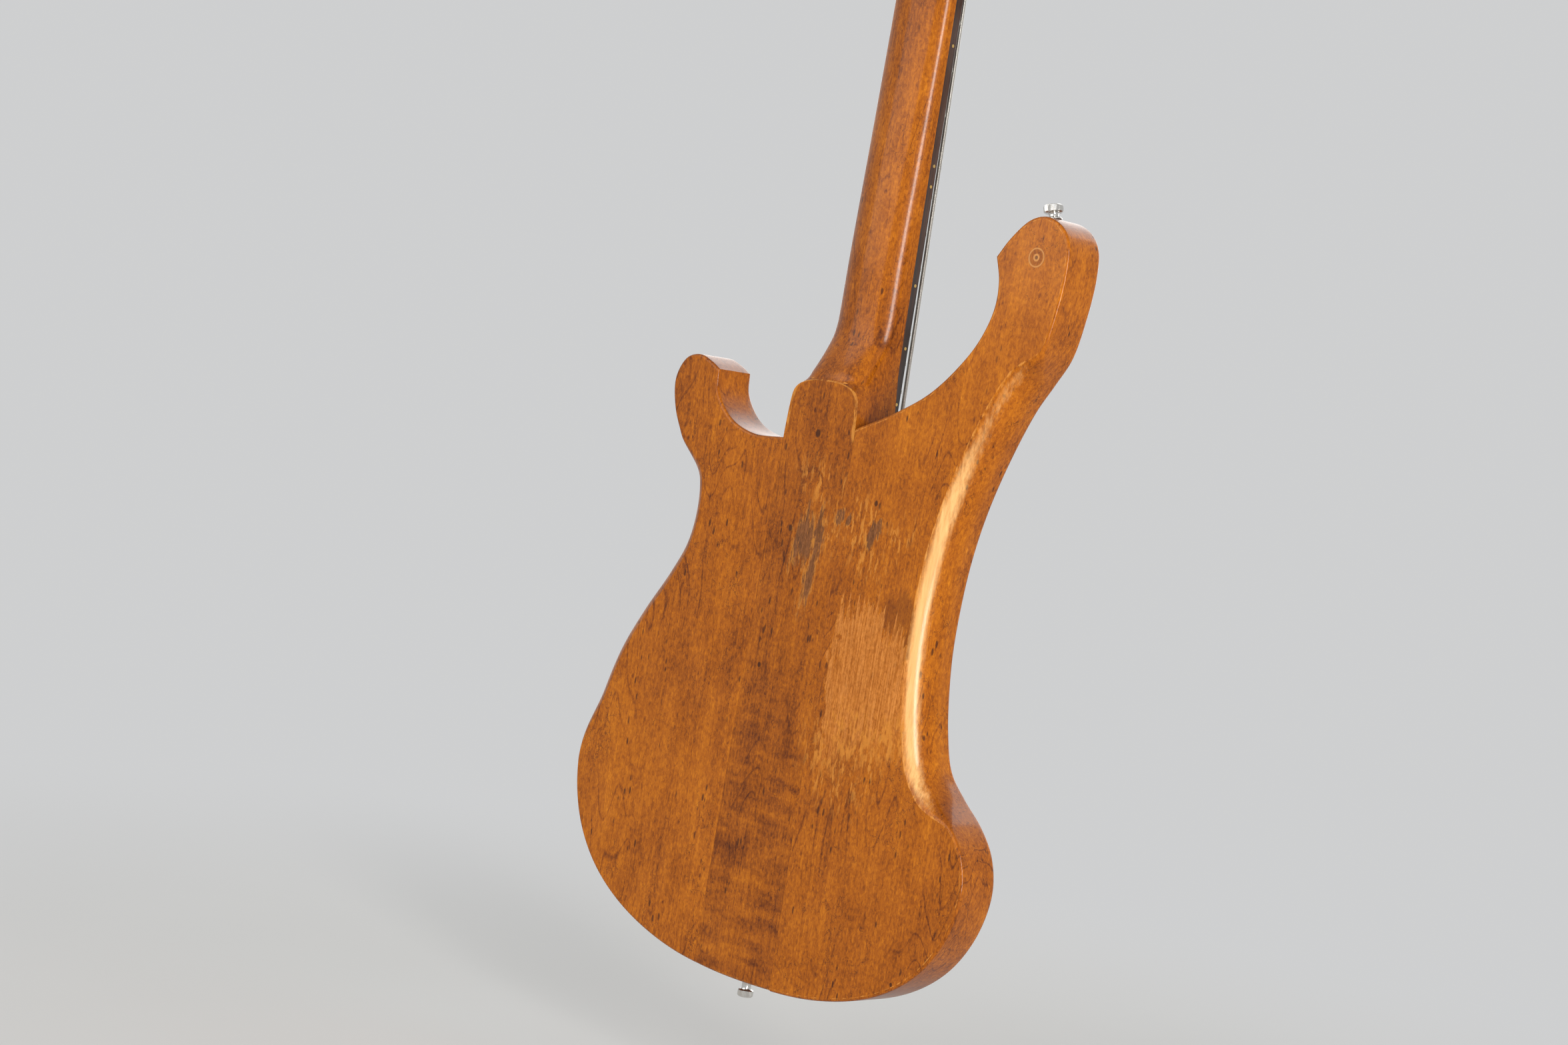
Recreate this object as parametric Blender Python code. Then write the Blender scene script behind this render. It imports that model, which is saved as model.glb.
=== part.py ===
"""Electric bass guitar with four strings and a neck that runs through the body.

The guitar stands upright. +Z runs from the tail to the head, the strings face -Y and the
back faces +Y. The treble side is +X. The origin is on the centre line, level with the nut,
in the plane of the body's front. All lengths are in metres.
"""
import math

import bmesh
import bpy
import numpy as np
from mathutils import Matrix, Vector

# Strings and fingerboard
SCALE_LENGTH = 0.84455
FRET_COUNT = 20
NUT_WIDTH = 0.0429
BOARD_END_WIDTH = 0.0518
BOARD_OVERHANG = 0.0072
BOARD_CROWN_Y = -0.0116
BOARD_RADIUS = 0.254
NECK_FACE_Y = -0.0040
STEP_LOW = 0.0024
STEP_HIGH = 0.0020
FRET_WIDTH = 0.0024
FRET_HEIGHT = 0.0011
FRET_BEVEL = 0.0007
BOARD_STEPS = 6
NUT_LENGTH = 0.0055
NUT_RISE = 0.0016
NUT_CORNER = 0.0008
NUT_SLOT_ROOM = 0.00035
STRING_RADII = {"e": 0.00134, "a": 0.00102, "d": 0.00083, "g": 0.00057}
NUT_SPREAD = 0.0330
BRIDGE_SPREAD = 0.0520
NUT_ACTION = 0.0003
TWELFTH_ACTION = 0.0024

# Body
BODY_THICKNESS = 0.03175
FRONT_EDGE = 0.0030
BACK_EDGE = 0.0018
CONTOUR_INSET = 0.0120
CONTOUR_DEPTH = 0.0220
STRIP_HALF_TOP = 0.02994
STRIP_HALF_TAIL = 0.03373
SEAM_TOP_RISE = 0.24455
SEAM_TOP_Z = -SCALE_LENGTH + SEAM_TOP_RISE
TAIL_DROP = -0.08365
TAIL_Z = -SCALE_LENGTH + TAIL_DROP
TAIL_BLOCK = 0.0182
SEAM_GAP = 0.0003
FIT = 0.0003
CUT_PAST = 0.0010
CUT_FRONT_Y = -0.0100
TAIL_NEAR_LEFT = (-0.0633, -0.08035)
TAIL_NEAR_RIGHT = (0.0596, -0.07855)
SIDE_STEPS = 6
FLAT_STEPS = 4
FRONT_STEPS = 2
OUTLINE_STEP = 0.0140
HEAD_STEP = 0.0180

# Head
HEAD_TILT = math.radians(8.0)
HEAD_START_Z = 0.0060
HEAD_THICKNESS = 0.0150
HEAD_EDGE = 0.0020
HEAD_SEAM = 0.0215
HEAD_TIP = 0.1890
HEAD_TIP_DROP = 0.0050
HEAD_BLOCK = (0.0195, 0.1750)

# Truss rods and their cover
TRUSS_SPREAD = 0.0060
TRUSS_WIDTH = 0.0058
TRUSS_DEPTH = 0.0078
TRUSS_LOW_RISE = 0.31455
TRUSS_LOW = -SCALE_LENGTH + TRUSS_LOW_RISE
TRUSS_POCKET = 0.0112
POCKET_DEPTH = 0.0090
POCKET_STEP = 0.0008
POCKET_TOP = 0.0300
TRUSS_ROD_RADIUS = 0.0024
TRUSS_NUT_RADIUS = 0.0034
TRUSS_NUT_LOW = 0.0105
TRUSS_NUT_LENGTH = 0.0080
TRUSS_NUT_BEVEL = 0.0003
TRUSS_ROD_END = 0.0200
TRUSS_COVER = ((-0.0150, 0.0022), (0.0150, 0.0022), (0.0150, 0.0240), (0.0110, 0.0380),
               (0.0000, 0.0520), (-0.0110, 0.0380), (-0.0150, 0.0240))
TRUSS_COVER_THICKNESS = 0.0018

# Tuners, in the head's own frame
POST_PLACES = {"e": (-0.0310, 0.0580), "a": (-0.0300, 0.1200),
               "d": (0.0300, 0.1200), "g": (0.0310, 0.0580)}
POST_RADIUS = 0.0050
POST_TOP = -0.0180
POST_SLOT_WIDTH = 0.0034
POST_SLOT_FLOOR = -0.0102
BUSHING_WALL = 0.0009
BUSHING_FLANGE = 0.0014
BUSHING_RIM = 0.0015
WINDING_LOW = -0.0036
WINDING_HIGH = -0.0120
WINDING_TURNS = {"e": 2.25, "a": 2.25, "d": 2.25, "g": 2.25}
LOOP_POINTS = 24
SLOT_BEND = 0.00126
SLOT_RUN = 0.0044
PLATE_THICKNESS = 0.0015
PLATE_HALF_WIDTH = 0.0110
PLATE_ABOVE = 0.0120
EAR_THICKNESS = 0.0015
EAR_LENGTH = 0.0100
WHEEL_TEETH = 20
WHEEL_PITCH_RADIUS = 0.0090
WHEEL_THICKNESS = 0.0040
WHEEL_BORE = 0.0035
TOOTH_ADDENDUM = 0.0008
TOOTH_CLEARANCE = 0.0003
TOOTH_BACKLASH = 0.00027
WORM_PITCH_RADIUS = 0.0040
WORM_TURNS = 4
WORM_SIDES = 8
WORM_STEPS = 5
KEY_SHAFT_RADIUS = 0.0026
KEY_LENGTH = 0.0425
KEY_STEM = 0.0085
KEY_END = 0.0012
COLLAR_RADIUS = 0.0040
COLLAR_LENGTH = 0.0011
KEY_AXIS_LIFT = 0.0072
EAR_ABOVE_AXIS = 0.0046

# The key's paddle: share of its length, half its thickness and half its width
KEY_PADDLE = ((0.0174, 0.0040, 0.0042), (0.1739, 0.0036, 0.0098), (0.4348, 0.0035, 0.0135),
              (0.6957, 0.0034, 0.0128), (0.8913, 0.0030, 0.0085), (1.0, 0.0014, 0.0030))

# Front hardware
GUARD_THICKNESS = 0.0023
CONTROL_DEPTH = 0.0250
KNOB_PLACES = {"knob_neck_volume": (0.0720, 0.06955), "knob_bridge_volume": (0.1100, 0.05555),
               "knob_neck_tone": (0.0760, 0.01455), "knob_bridge_tone": (0.1140, 0.00155)}
KNOB_RADIUS = 0.0115
KNOB_HEIGHT = 0.0150
POT_SHAFT_RADIUS = 0.0031
POT_RADIUS = 0.0090
POT_DEPTH = 0.0090
POT_BUSHING_WALL = 0.0013
POT_NUT_WALL = 0.0014
POT_NUT_HEIGHT = 0.0020
KNOB_GAP = 0.0006
SWITCH_PLACE = (0.0720, 0.11955)
SWITCH_BORE = 0.0033
SWITCH_WALL = 0.0010
SWITCH_CASE_RADIUS = 0.0080
SWITCH_CASE_DEPTH = 0.0150
LEVER_RADIUS = 0.0013
LEVER_LENGTH = 0.0170
TIP_RADIUS = 0.0038
TIP_LENGTH = 0.0120
PICKUP_HALF_WIDTH = 0.0310
PICKUP_HALF_LENGTH = 0.0190
PICKUP_TOP_Y = -0.0110
PICKUP_DEPTH = 0.0160
PICKUP_ROOM = 0.0008
PICKUP_CORNER = 0.0040
PICKUP_EDGE = 0.0012
NECK_PICKUP_DROP = 0.0383
BRIDGE_PICKUP_HEIGHT = 0.09955
RING_WIDTH = 0.0035
RING_THICKNESS = 0.0016
JACK_RISE = 0.01855
JACK_Z = -SCALE_LENGTH + JACK_RISE
JACK_FACE_X = 0.1672
JACK_BORE = 0.0034
JACK_LENGTH = 0.0290
JACK_SEAT_REACH = 0.0100
JACK_PLATE_RADIUS = 0.0110
JACK_PLATE_THICKNESS = 0.0015
JACK_WALL = 0.0012
JACK_NUT_WALL = 0.0019
JACK_NUT_HEIGHT = 0.0018

# Bridge and tailpiece
TAILPIECE_HALF_WIDTH = 0.0340
TAILPIECE_RISE = 0.02455
TAILPIECE_DROP = 0.06745
TAILPIECE_TOP_Z = -SCALE_LENGTH + TAILPIECE_RISE
TAILPIECE_END_Z = -SCALE_LENGTH - TAILPIECE_DROP
TAILPIECE_THICKNESS = 0.0040
ANCHOR_DROP = 0.05145
ANCHOR_Z = -SCALE_LENGTH - ANCHOR_DROP
ANCHOR_THICKNESS = 0.0060
ANCHOR_HEIGHT = 0.0165
ANCHOR_ROOM = 0.0005
STRING_AT_ANCHOR_Y = -0.0142
BALL_RADIUS = 0.0031
FRAME_HALF_LENGTH = 0.0165
FRAME_HALF_WIDTH = 0.0330
FRAME_BAR = 0.0030
FRAME_FLOOR = 0.0016
FRAME_TOP_Y = -0.0146
FRAME_SETBACK = 0.0010
SADDLE_LENGTH = 0.0090
SADDLE_WIDTH = 0.0125
SADDLE_SETBACK = {"e": 0.0030, "a": 0.0020, "d": 0.0012, "g": 0.0004}
SADDLE_SCREW_RADIUS = 0.0013
SADDLE_SCREW_Y = -0.0100

# Strap buttons
HORN_BUTTON = (-0.1442, 0.41235)
HORN_BUTTON_LEAN = math.radians(15.0)
HORN_BUTTON_RADIUS = 0.0059
TAIL_BUTTON_RADIUS = 0.0050
BUTTON_STEM = 0.0030
HORN_BUTTON_LENGTH = 0.0095
TAIL_BUTTON_LENGTH = 0.0125
BUTTON_HEAD = 0.0045
BUTTON_SCREW = 0.0017
BUTTON_SCREW_LENGTH = 0.0150


def above_bridge(points):
    """Turn (x, height above the bridge line) into (x, z)."""
    return tuple((x, height - SCALE_LENGTH) for x, height in points)


# The body's outline, clockwise as seen from behind, with its two sharp beaks
BASS_CUTAWAY = above_bridge(((-0.0293, 0.27185), (-0.0575, 0.28475), (-0.0824, 0.29955),
                             (-0.1006, 0.31675), (-0.1147, 0.33575), (-0.1222, 0.35575),
                             (-0.1222, 0.37205), (-0.1176, 0.38665)))
BASS_HORN = above_bridge(((-0.1176, 0.38665), (-0.1260, 0.39855), (-0.1389, 0.41045),
                          (-0.1500, 0.41325), (-0.1620, 0.40895), (-0.1698, 0.39935),
                          (-0.1720, 0.38185), (-0.1691, 0.35435), (-0.1640, 0.33275),
                          (-0.1544, 0.31605), (-0.1438, 0.29865), (-0.1294, 0.26435),
                          (-0.1189, 0.23025), (-0.1129, 0.19645), (-0.1107, 0.15455),
                          (-0.1121, 0.13045), (-0.1173, 0.09845), (-0.1250, 0.07605),
                          (-0.1384, 0.06185), (-0.1537, 0.04875), (-0.1651, 0.03375),
                          (-0.1705, 0.01335), (-0.1665, -0.01045), (-0.1546, -0.03355),
                          (-0.1377, -0.05125), (-0.1095, -0.06775), TAIL_NEAR_LEFT,
                          (0.0000, TAIL_DROP), TAIL_NEAR_RIGHT, (0.1061, -0.06365),
                          (0.1367, -0.04415), (0.1559, -0.02145), (0.1664, 0.00355),
                          (0.1698, 0.03055), (0.1678, 0.05655), (0.1545, 0.10135),
                          (0.1383, 0.13185), (0.1191, 0.16155), (0.1084, 0.18255),
                          (0.1051, 0.20405), (0.1070, 0.22055), (0.1131, 0.23555),
                          (0.1220, 0.24955), (0.1311, 0.26625), (0.1345, 0.28515),
                          (0.1273, 0.29895), (0.1158, 0.30255), (0.1043, 0.29915),
                          (0.0960, 0.29485)))
TREBLE_CUTAWAY = above_bridge(((0.0960, 0.29485), (0.0944, 0.28255), (0.0876, 0.27235),
                               (0.0763, 0.26355), (0.0566, 0.25775), (0.0298, 0.25875)))

# Where the back of each flank is rounded: two heights above the bridge at each end
BASS_FLANK = (0.33655, 0.31155, 0.06655, 0.04555)
TREBLE_FLANK = (0.24455, 0.22455, 0.04655, 0.02955)

# The neck behind the fingerboard: fret or height above the bridge, depth of the wood, and
# roundness of the section
NECK_BY_FRET = ((0.0, 0.0131, 2.1), (3.4, 0.0131, 2.05), (7.6, 0.0136, 2.05),
                (10.5, 0.0163, 2.05))
HEEL_BY_BRIDGE = ((0.37855, 0.0192, 2.1), (0.33655, 0.0200, 2.1), (0.32755, 0.0212, 2.3),
                  (0.31955, 0.0245, 2.6), (0.31055, 0.0290, 3.0), (0.30355, 0.0330, 3.3),
                  (0.29755, 0.0360, 3.8), (0.29255, 0.0420, 5.2), (0.28755, 0.0480, 7.5),
                  (0.27455, 0.0600, 11.0), (0.25955, 0.0600, 16.0))
HEEL_WIDTHS = ((0.33655, 0.0253), (0.30455, 0.0264), (0.28755, 0.0281), (0.26455, 0.0295),
               (0.24455, 0.0299))

# How the neck's section turns into the head's: height above the head's start, depth, roundness
NECK_TO_HEAD = ((0.0030, 0.0142, 2.4), (0.0080, 0.0162, 3.2), (0.0140, 0.0160, 6.0))

# The right half of the headstock, from the nut to the tip, in its own plane
HEAD_OUTLINE = ((0.0215, 0.0200), (0.0310, 0.0260), (0.0435, 0.0385), (0.0480, 0.0560),
                (0.0470, 0.0840), (0.0455, 0.1100), (0.0465, 0.1360), (0.0435, 0.1600),
                (0.0340, 0.1770), (0.0215, 0.1840), (0.0110, 0.1877), (0.0000, 0.1890))

# The pickguard and the hollow under it
GUARD_OUTLINE = above_bridge(((0.0400, 0.19455), (0.0400, 0.23155), (0.0470, 0.23855),
                              (0.0640, 0.24255), (0.0880, 0.25455), (0.1060, 0.27255),
                              (0.1130, 0.26155), (0.1010, 0.23955), (0.0930, 0.21255),
                              (0.0930, 0.19055), (0.1000, 0.16255), (0.1150, 0.13455),
                              (0.1310, 0.10455), (0.1450, 0.07255), (0.1520, 0.03955),
                              (0.1500, 0.00955), (0.1390, -0.01945), (0.1150, -0.04145),
                              (0.0850, -0.04745), (0.0600, -0.04145), (0.0470, -0.02545),
                              (0.0430, 0.00455), (0.0410, 0.06455), (0.0400, 0.13455)))
CONTROL_OUTLINE = above_bridge(((0.0500, 0.14455), (0.0880, 0.14455), (0.1120, 0.09955),
                                (0.1340, 0.05455), (0.1400, 0.01855), (0.1330, -0.00745),
                                (0.1100, -0.02945), (0.0800, -0.03545), (0.0560, -0.02745),
                                (0.0500, 0.00455)))

STRINGS = ("e", "a", "d", "g")
HEAD_FRAME = (Matrix.Translation((0.0, NECK_FACE_Y, HEAD_START_Z))
              @ Matrix.Rotation(-HEAD_TILT, 4, "X"))


# Small tools for shapes

def clear_scene():
    for thing in list(bpy.data.objects):
        bpy.data.objects.remove(thing, do_unlink=True)


def finish(name, colour, roughness, metallic=0.0):
    """A plain Principled material."""
    made = bpy.data.materials.new(name)
    made.use_nodes = True
    shader = made.node_tree.nodes["Principled BSDF"]
    shader.inputs["Base Color"].default_value = (*colour, 1.0)
    shader.inputs["Roughness"].default_value = roughness
    shader.inputs["Metallic"].default_value = metallic
    return made


def add_piece(name, shape, material, parent=None, place=(0.0, 0.0, 0.0), smooth=None):
    """Turn a bmesh into a named object; smooth is the angle over which edges stay sharp."""
    bmesh.ops.recalc_face_normals(shape, faces=shape.faces)
    mesh = bpy.data.meshes.new(name)
    shape.to_mesh(mesh)
    shape.free()
    mesh.materials.append(material)
    thing = bpy.data.objects.new(name, mesh)
    thing.location = place
    thing.parent = parent
    bpy.context.collection.objects.link(thing)
    if smooth is not None:
        mesh.shade_smooth()
        mesh.set_sharp_from_angle(angle=math.radians(smooth))
    return thing


def add_cutter(name, shape, parent=None, place=(0.0, 0.0, 0.0)):
    """A hidden object that only cuts others."""
    bmesh.ops.recalc_face_normals(shape, faces=shape.faces)
    mesh = bpy.data.meshes.new(name)
    shape.to_mesh(mesh)
    shape.free()
    tool = bpy.data.objects.new(name, mesh)
    tool.location = place
    tool.parent = parent
    tool.hide_render = True
    tool.display_type = "WIRE"
    bpy.context.collection.objects.link(tool)
    return tool


def cut(thing, tool, operation="DIFFERENCE"):
    """Take the tool's volume away from the object, or join it on."""
    step = thing.modifiers.new(tool.name, "BOOLEAN")
    step.operation = operation
    step.solver = "EXACT"
    step.object = tool


def skin(shape, rings, close=True):
    """Join rings of equal length with quads and close the two ends."""
    rows = [[shape.verts.new(point) for point in ring] for ring in rings]
    for low, high in zip(rows, rows[1:]):
        for k in range(len(low)):
            n = (k + 1) % len(low)
            shape.faces.new((low[k], low[n], high[n], high[k]))
    if close:
        shape.faces.new(rows[0][::-1])
        shape.faces.new(rows[-1])
    return shape


def turned(profile, sides, shape=None, centre=(0.0, 0.0, 0.0), axis="Y"):
    """Revolve (radius, height) points that start and end on the axis."""
    shape = shape or bmesh.new()
    way = {"X": ((0, 1, 0), (0, 0, 1), (1, 0, 0)), "Y": ((0, 0, 1), (1, 0, 0), (0, 1, 0)),
           "Z": ((1, 0, 0), (0, 1, 0), (0, 0, 1))}[axis]
    across, up, along = (Vector(part) for part in way)
    middle = Vector(centre)
    angles = [2.0 * math.pi * (k + 0.5) / sides for k in range(sides)]
    rings = []
    for radius, height in profile:
        if radius > 0.0:
            rings.append([shape.verts.new(middle + along * height + radius
                                          * (across * math.cos(a) + up * math.sin(a)))
                          for a in angles])
        else:
            rings.append([shape.verts.new(middle + along * height)])
    for low, high in zip(rings, rings[1:]):
        for k in range(sides):
            n = (k + 1) % sides
            if len(low) == 1:
                shape.faces.new((low[0], high[n], high[k]))
            elif len(high) == 1:
                shape.faces.new((low[k], low[n], high[0]))
            else:
                shape.faces.new((low[k], low[n], high[n], high[k]))
    return shape


def rod(radius, low, high, sides, shape=None, centre=(0.0, 0.0, 0.0), axis="Y"):
    """A plain cylinder between two heights on its axis."""
    return turned(((0.0, low), (radius, low), (radius, high), (0.0, high)), sides, shape,
                  centre, axis)


def prism(outline, low, high, along="Y", shape=None):
    """Extrude an outline: (x, z) along Y, or (y, z) along X."""
    shape = shape or bmesh.new()
    if along == "Y":
        rings = [[(a, level, b) for a, b in outline] for level in (low, high)]
    else:
        rings = [[(level, a, b) for a, b in outline] for level in (low, high)]
    return skin(shape, rings)


def box(low, high, shape=None):
    """An upright block between two corners."""
    corners = ((low[0], low[2]), (high[0], low[2]), (high[0], high[2]), (low[0], high[2]))
    return prism(corners, low[1], high[1], "Y", shape)


def smooth_curve(points, step, closed=False):
    """Points along a centripetal Catmull-Rom curve through the given ones."""
    knots = [Vector(p) for p in points]
    count = len(knots)
    found = []
    for k in range(count if closed else count - 1):
        p1, p2 = knots[k], knots[(k + 1) % count]
        p0 = knots[k - 1] if (closed or k > 0) else p1 + (p1 - p2)
        p3 = knots[(k + 2) % count] if (closed or k < count - 2) else p2 + (p2 - p1)
        t1 = (p1 - p0).length ** 0.5
        t2 = t1 + (p2 - p1).length ** 0.5
        t3 = t2 + (p3 - p2).length ** 0.5
        parts = max(1, round((p2 - p1).length / step))
        for j in range(parts):
            t = t1 + (t2 - t1) * j / parts
            a1 = p0 * ((t1 - t) / t1) + p1 * (t / t1)
            a2 = p1 * ((t2 - t) / (t2 - t1)) + p2 * ((t - t1) / (t2 - t1))
            a3 = p2 * ((t3 - t) / (t3 - t2)) + p3 * ((t - t2) / (t3 - t2))
            b1 = a1 * ((t2 - t) / t2) + a2 * (t / t2)
            b2 = a2 * ((t3 - t) / (t3 - t1)) + a3 * ((t - t1) / (t3 - t1))
            found.append(b1 * ((t2 - t) / (t2 - t1)) + b2 * ((t - t1) / (t2 - t1)))
    if not closed:
        found.append(knots[-1])
    return found


def ease(value):
    """A smooth step from 0 to 1."""
    value = min(1.0, max(0.0, value))
    return value * value * (3.0 - 2.0 * value)


def between(table, z, column):
    """Read a column of a table at height z, with a smooth curve through its rows."""
    heights = [row[0] for row in table][::-1]
    values = [row[column] for row in table][::-1]
    slopes = np.gradient(values, heights)
    k = min(len(heights) - 2, max(0, int(np.searchsorted(heights, z)) - 1))
    span = heights[k + 1] - heights[k]
    t = min(1.0, max(0.0, (z - heights[k]) / span))
    rise = values[k + 1] - values[k]
    low = slopes[k] * span
    high = slopes[k + 1] * span
    if rise == 0.0 or low * rise <= 0.0:
        low = 0.0
    if rise == 0.0 or high * rise <= 0.0:
        high = 0.0
    if rise != 0.0:
        low = math.copysign(min(abs(low), 3.0 * abs(rise)), rise) if low else 0.0
        high = math.copysign(min(abs(high), 3.0 * abs(rise)), rise) if high else 0.0
    return (values[k] * (2 * t ** 3 - 3 * t ** 2 + 1) + low * (t ** 3 - 2 * t ** 2 + t)
            + values[k + 1] * (3 * t ** 2 - 2 * t ** 3) + high * (t ** 3 - t ** 2))


# Rules that several pieces share

def fret_z(number):
    """Distance of a fret from the nut, by the twelfth root of two."""
    return -SCALE_LENGTH * (1.0 - 2.0 ** (-number / 12.0))


BOARD_END_Z = fret_z(FRET_COUNT) - BOARD_OVERHANG


def board_half(z):
    """Half the fingerboard's width at height z."""
    return 0.5 * (NUT_WIDTH + (BOARD_END_WIDTH - NUT_WIDTH) * z / BOARD_END_Z)


def board_y(x):
    """The cambered top of the fingerboard."""
    return BOARD_CROWN_Y + x * x / (2.0 * BOARD_RADIUS)


def strip_half(z):
    """Half the width of the centre strip in the body."""
    share = (SEAM_TOP_Z - z) / (SEAM_TOP_Z - TAIL_Z)
    return STRIP_HALF_TOP + (STRIP_HALF_TAIL - STRIP_HALF_TOP) * share


def string_x(number, z):
    """A string's distance from the centre line; all four fan out evenly."""
    share = number / 3.0 - 0.5
    return share * (NUT_SPREAD + (BRIDGE_SPREAD - NUT_SPREAD) * (-z) / SCALE_LENGTH)


STRING_NUT_BOTTOM = BOARD_CROWN_Y - FRET_HEIGHT - NUT_ACTION
STRING_SADDLE_BOTTOM = STRING_NUT_BOTTOM - 2.0 * (TWELFTH_ACTION - NUT_ACTION)
FRAME_MIDDLE_Z = -SCALE_LENGTH - FRAME_SETBACK


def saddle_z(name):
    """Where a string breaks over its saddle."""
    return -SCALE_LENGTH - SADDLE_SETBACK[name]


def slab(outline, levels):
    """A plate from a closed outline; levels(point) gives its (inset, y) steps, front to back."""
    count = len(outline)
    turn = sum(outline[k].x * outline[(k + 1) % count].y
               - outline[(k + 1) % count].x * outline[k].y for k in range(count))
    side = 1.0 if turn > 0.0 else -1.0
    rows = []
    for k in range(count):
        ahead = (outline[(k + 1) % count] - outline[k]).normalized()
        behind = (outline[k] - outline[k - 1]).normalized()
        along = (ahead + behind).normalized()
        inward = Vector((-along.y, along.x)) * side
        rows.append([(outline[k] + inward * inset, y) for inset, y in levels(outline[k])])
    rings = [[(rows[k][j][0].x, rows[k][j][1], rows[k][j][0].y) for k in range(count)]
             for j in range(len(rows[0]))]
    return skin(bmesh.new(), rings)


def keep_side(shape, point, outward):
    """Cut a solid with a plane, drop what lies outward and close the cut."""
    parts = shape.verts[:] + shape.edges[:] + shape.faces[:]
    bmesh.ops.bisect_plane(shape, geom=parts, dist=1e-7, plane_co=point, plane_no=outward,
                           clear_outer=True)
    rim = [edge for edge in shape.edges if edge.is_boundary]
    bmesh.ops.contextual_create(shape, geom=rim)
    return shape


# Wood

def body_levels(point):
    """Edge section of the body: a small round in front, and a crisp or contoured back."""
    flank = BASS_FLANK if point.x < 0.0 else TREBLE_FLANK
    top_in, top_full, low_full, low_out = (height - SCALE_LENGTH for height in flank)
    share = ease((top_in - point.y) / (top_in - top_full))
    share *= ease((point.y - low_out) / (low_full - low_out))
    if abs(point.x) < 0.09:
        share = 0.0
    inset = BACK_EDGE + (CONTOUR_INSET - BACK_EDGE) * share
    depth = BACK_EDGE + (CONTOUR_DEPTH - BACK_EDGE) * share
    steps = [(FRONT_EDGE, 0.0), (0.29 * FRONT_EDGE, 0.29 * FRONT_EDGE), (0.0, FRONT_EDGE)]
    for k in range(5):
        angle = 0.5 * math.pi * k / 4.0
        steps.append((inset * (1.0 - math.cos(angle)),
                      BODY_THICKNESS - depth * (1.0 - math.sin(angle))))
    return steps


def body_outline():
    """The whole outline, as smooth runs that meet in the two beaks and at the neck."""
    runs = (BASS_CUTAWAY, BASS_HORN, TREBLE_CUTAWAY)
    points = []
    for run in runs:
        points += smooth_curve(run, OUTLINE_STEP)[:-1]
    points.append(Vector(TREBLE_CUTAWAY[-1]))
    return points


def seam_plane(side, gap):
    """A point on a seam beside the centre strip, and its normal towards the wing."""
    high = Vector((side * (STRIP_HALF_TOP + gap), 0.0, SEAM_TOP_Z))
    low = Vector((side * (STRIP_HALF_TAIL + gap), 0.0, TAIL_Z))
    run = high - low
    return high, Vector((side * run.z, 0.0, -side * run.x)).normalized()


def make_wing(name, side, material):
    """One wing of the body, glued to the centre strip."""
    point, outward = seam_plane(side, SEAM_GAP)
    shape = keep_side(slab(body_outline(), body_levels), point, -outward)
    return add_piece(name, shape, material, smooth=32.0)


def neck_ring(half, front, depth, power, back_limit):
    """Section of the neck as (x, y): a superellipse behind a flat front, cut by the back."""
    room = back_limit - front
    if depth > room:
        turn = math.asin((room / depth) ** (power / 2.0))
    else:
        turn = 0.5 * math.pi * 0.8
    side = []
    for k in range(SIDE_STEPS + 1):
        angle = turn * k / SIDE_STEPS
        side.append((half * math.cos(angle) ** (2.0 / power),
                     front + min(room, depth * math.sin(angle) ** (2.0 / power))))
    edge_x = side[-1][0]
    crown = []
    for k in range(1, FLAT_STEPS):
        x = edge_x * (1.0 - 2.0 * k / FLAT_STEPS)
        y = depth * (1.0 - abs(x / half) ** power) ** (1.0 / power)
        crown.append((x, front + min(room, y)))
    face = [(half * (2.0 * k / FRONT_STEPS - 1.0), front) for k in range(1, FRONT_STEPS)]
    return side + crown + [(-x, y) for x, y in side[::-1]] + face


def block_ring(half, front, back):
    """The same count of points round a plain rectangle."""
    side = [(half, front + (back - front) * k / SIDE_STEPS) for k in range(SIDE_STEPS + 1)]
    crown = [(half * (1.0 - 2.0 * k / FLAT_STEPS), back) for k in range(1, FLAT_STEPS)]
    face = [(half * (2.0 * k / FRONT_STEPS - 1.0), front) for k in range(1, FRONT_STEPS)]
    return side + crown + [(-x, y) for x, y in side[::-1]] + face


def outline_z(x):
    """Height of the body's tail at x, near the centre."""
    across, height = TAIL_NEAR_LEFT if x < 0.0 else TAIL_NEAR_RIGHT
    return TAIL_Z + (height - TAIL_DROP) * (x / across) ** 2


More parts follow.
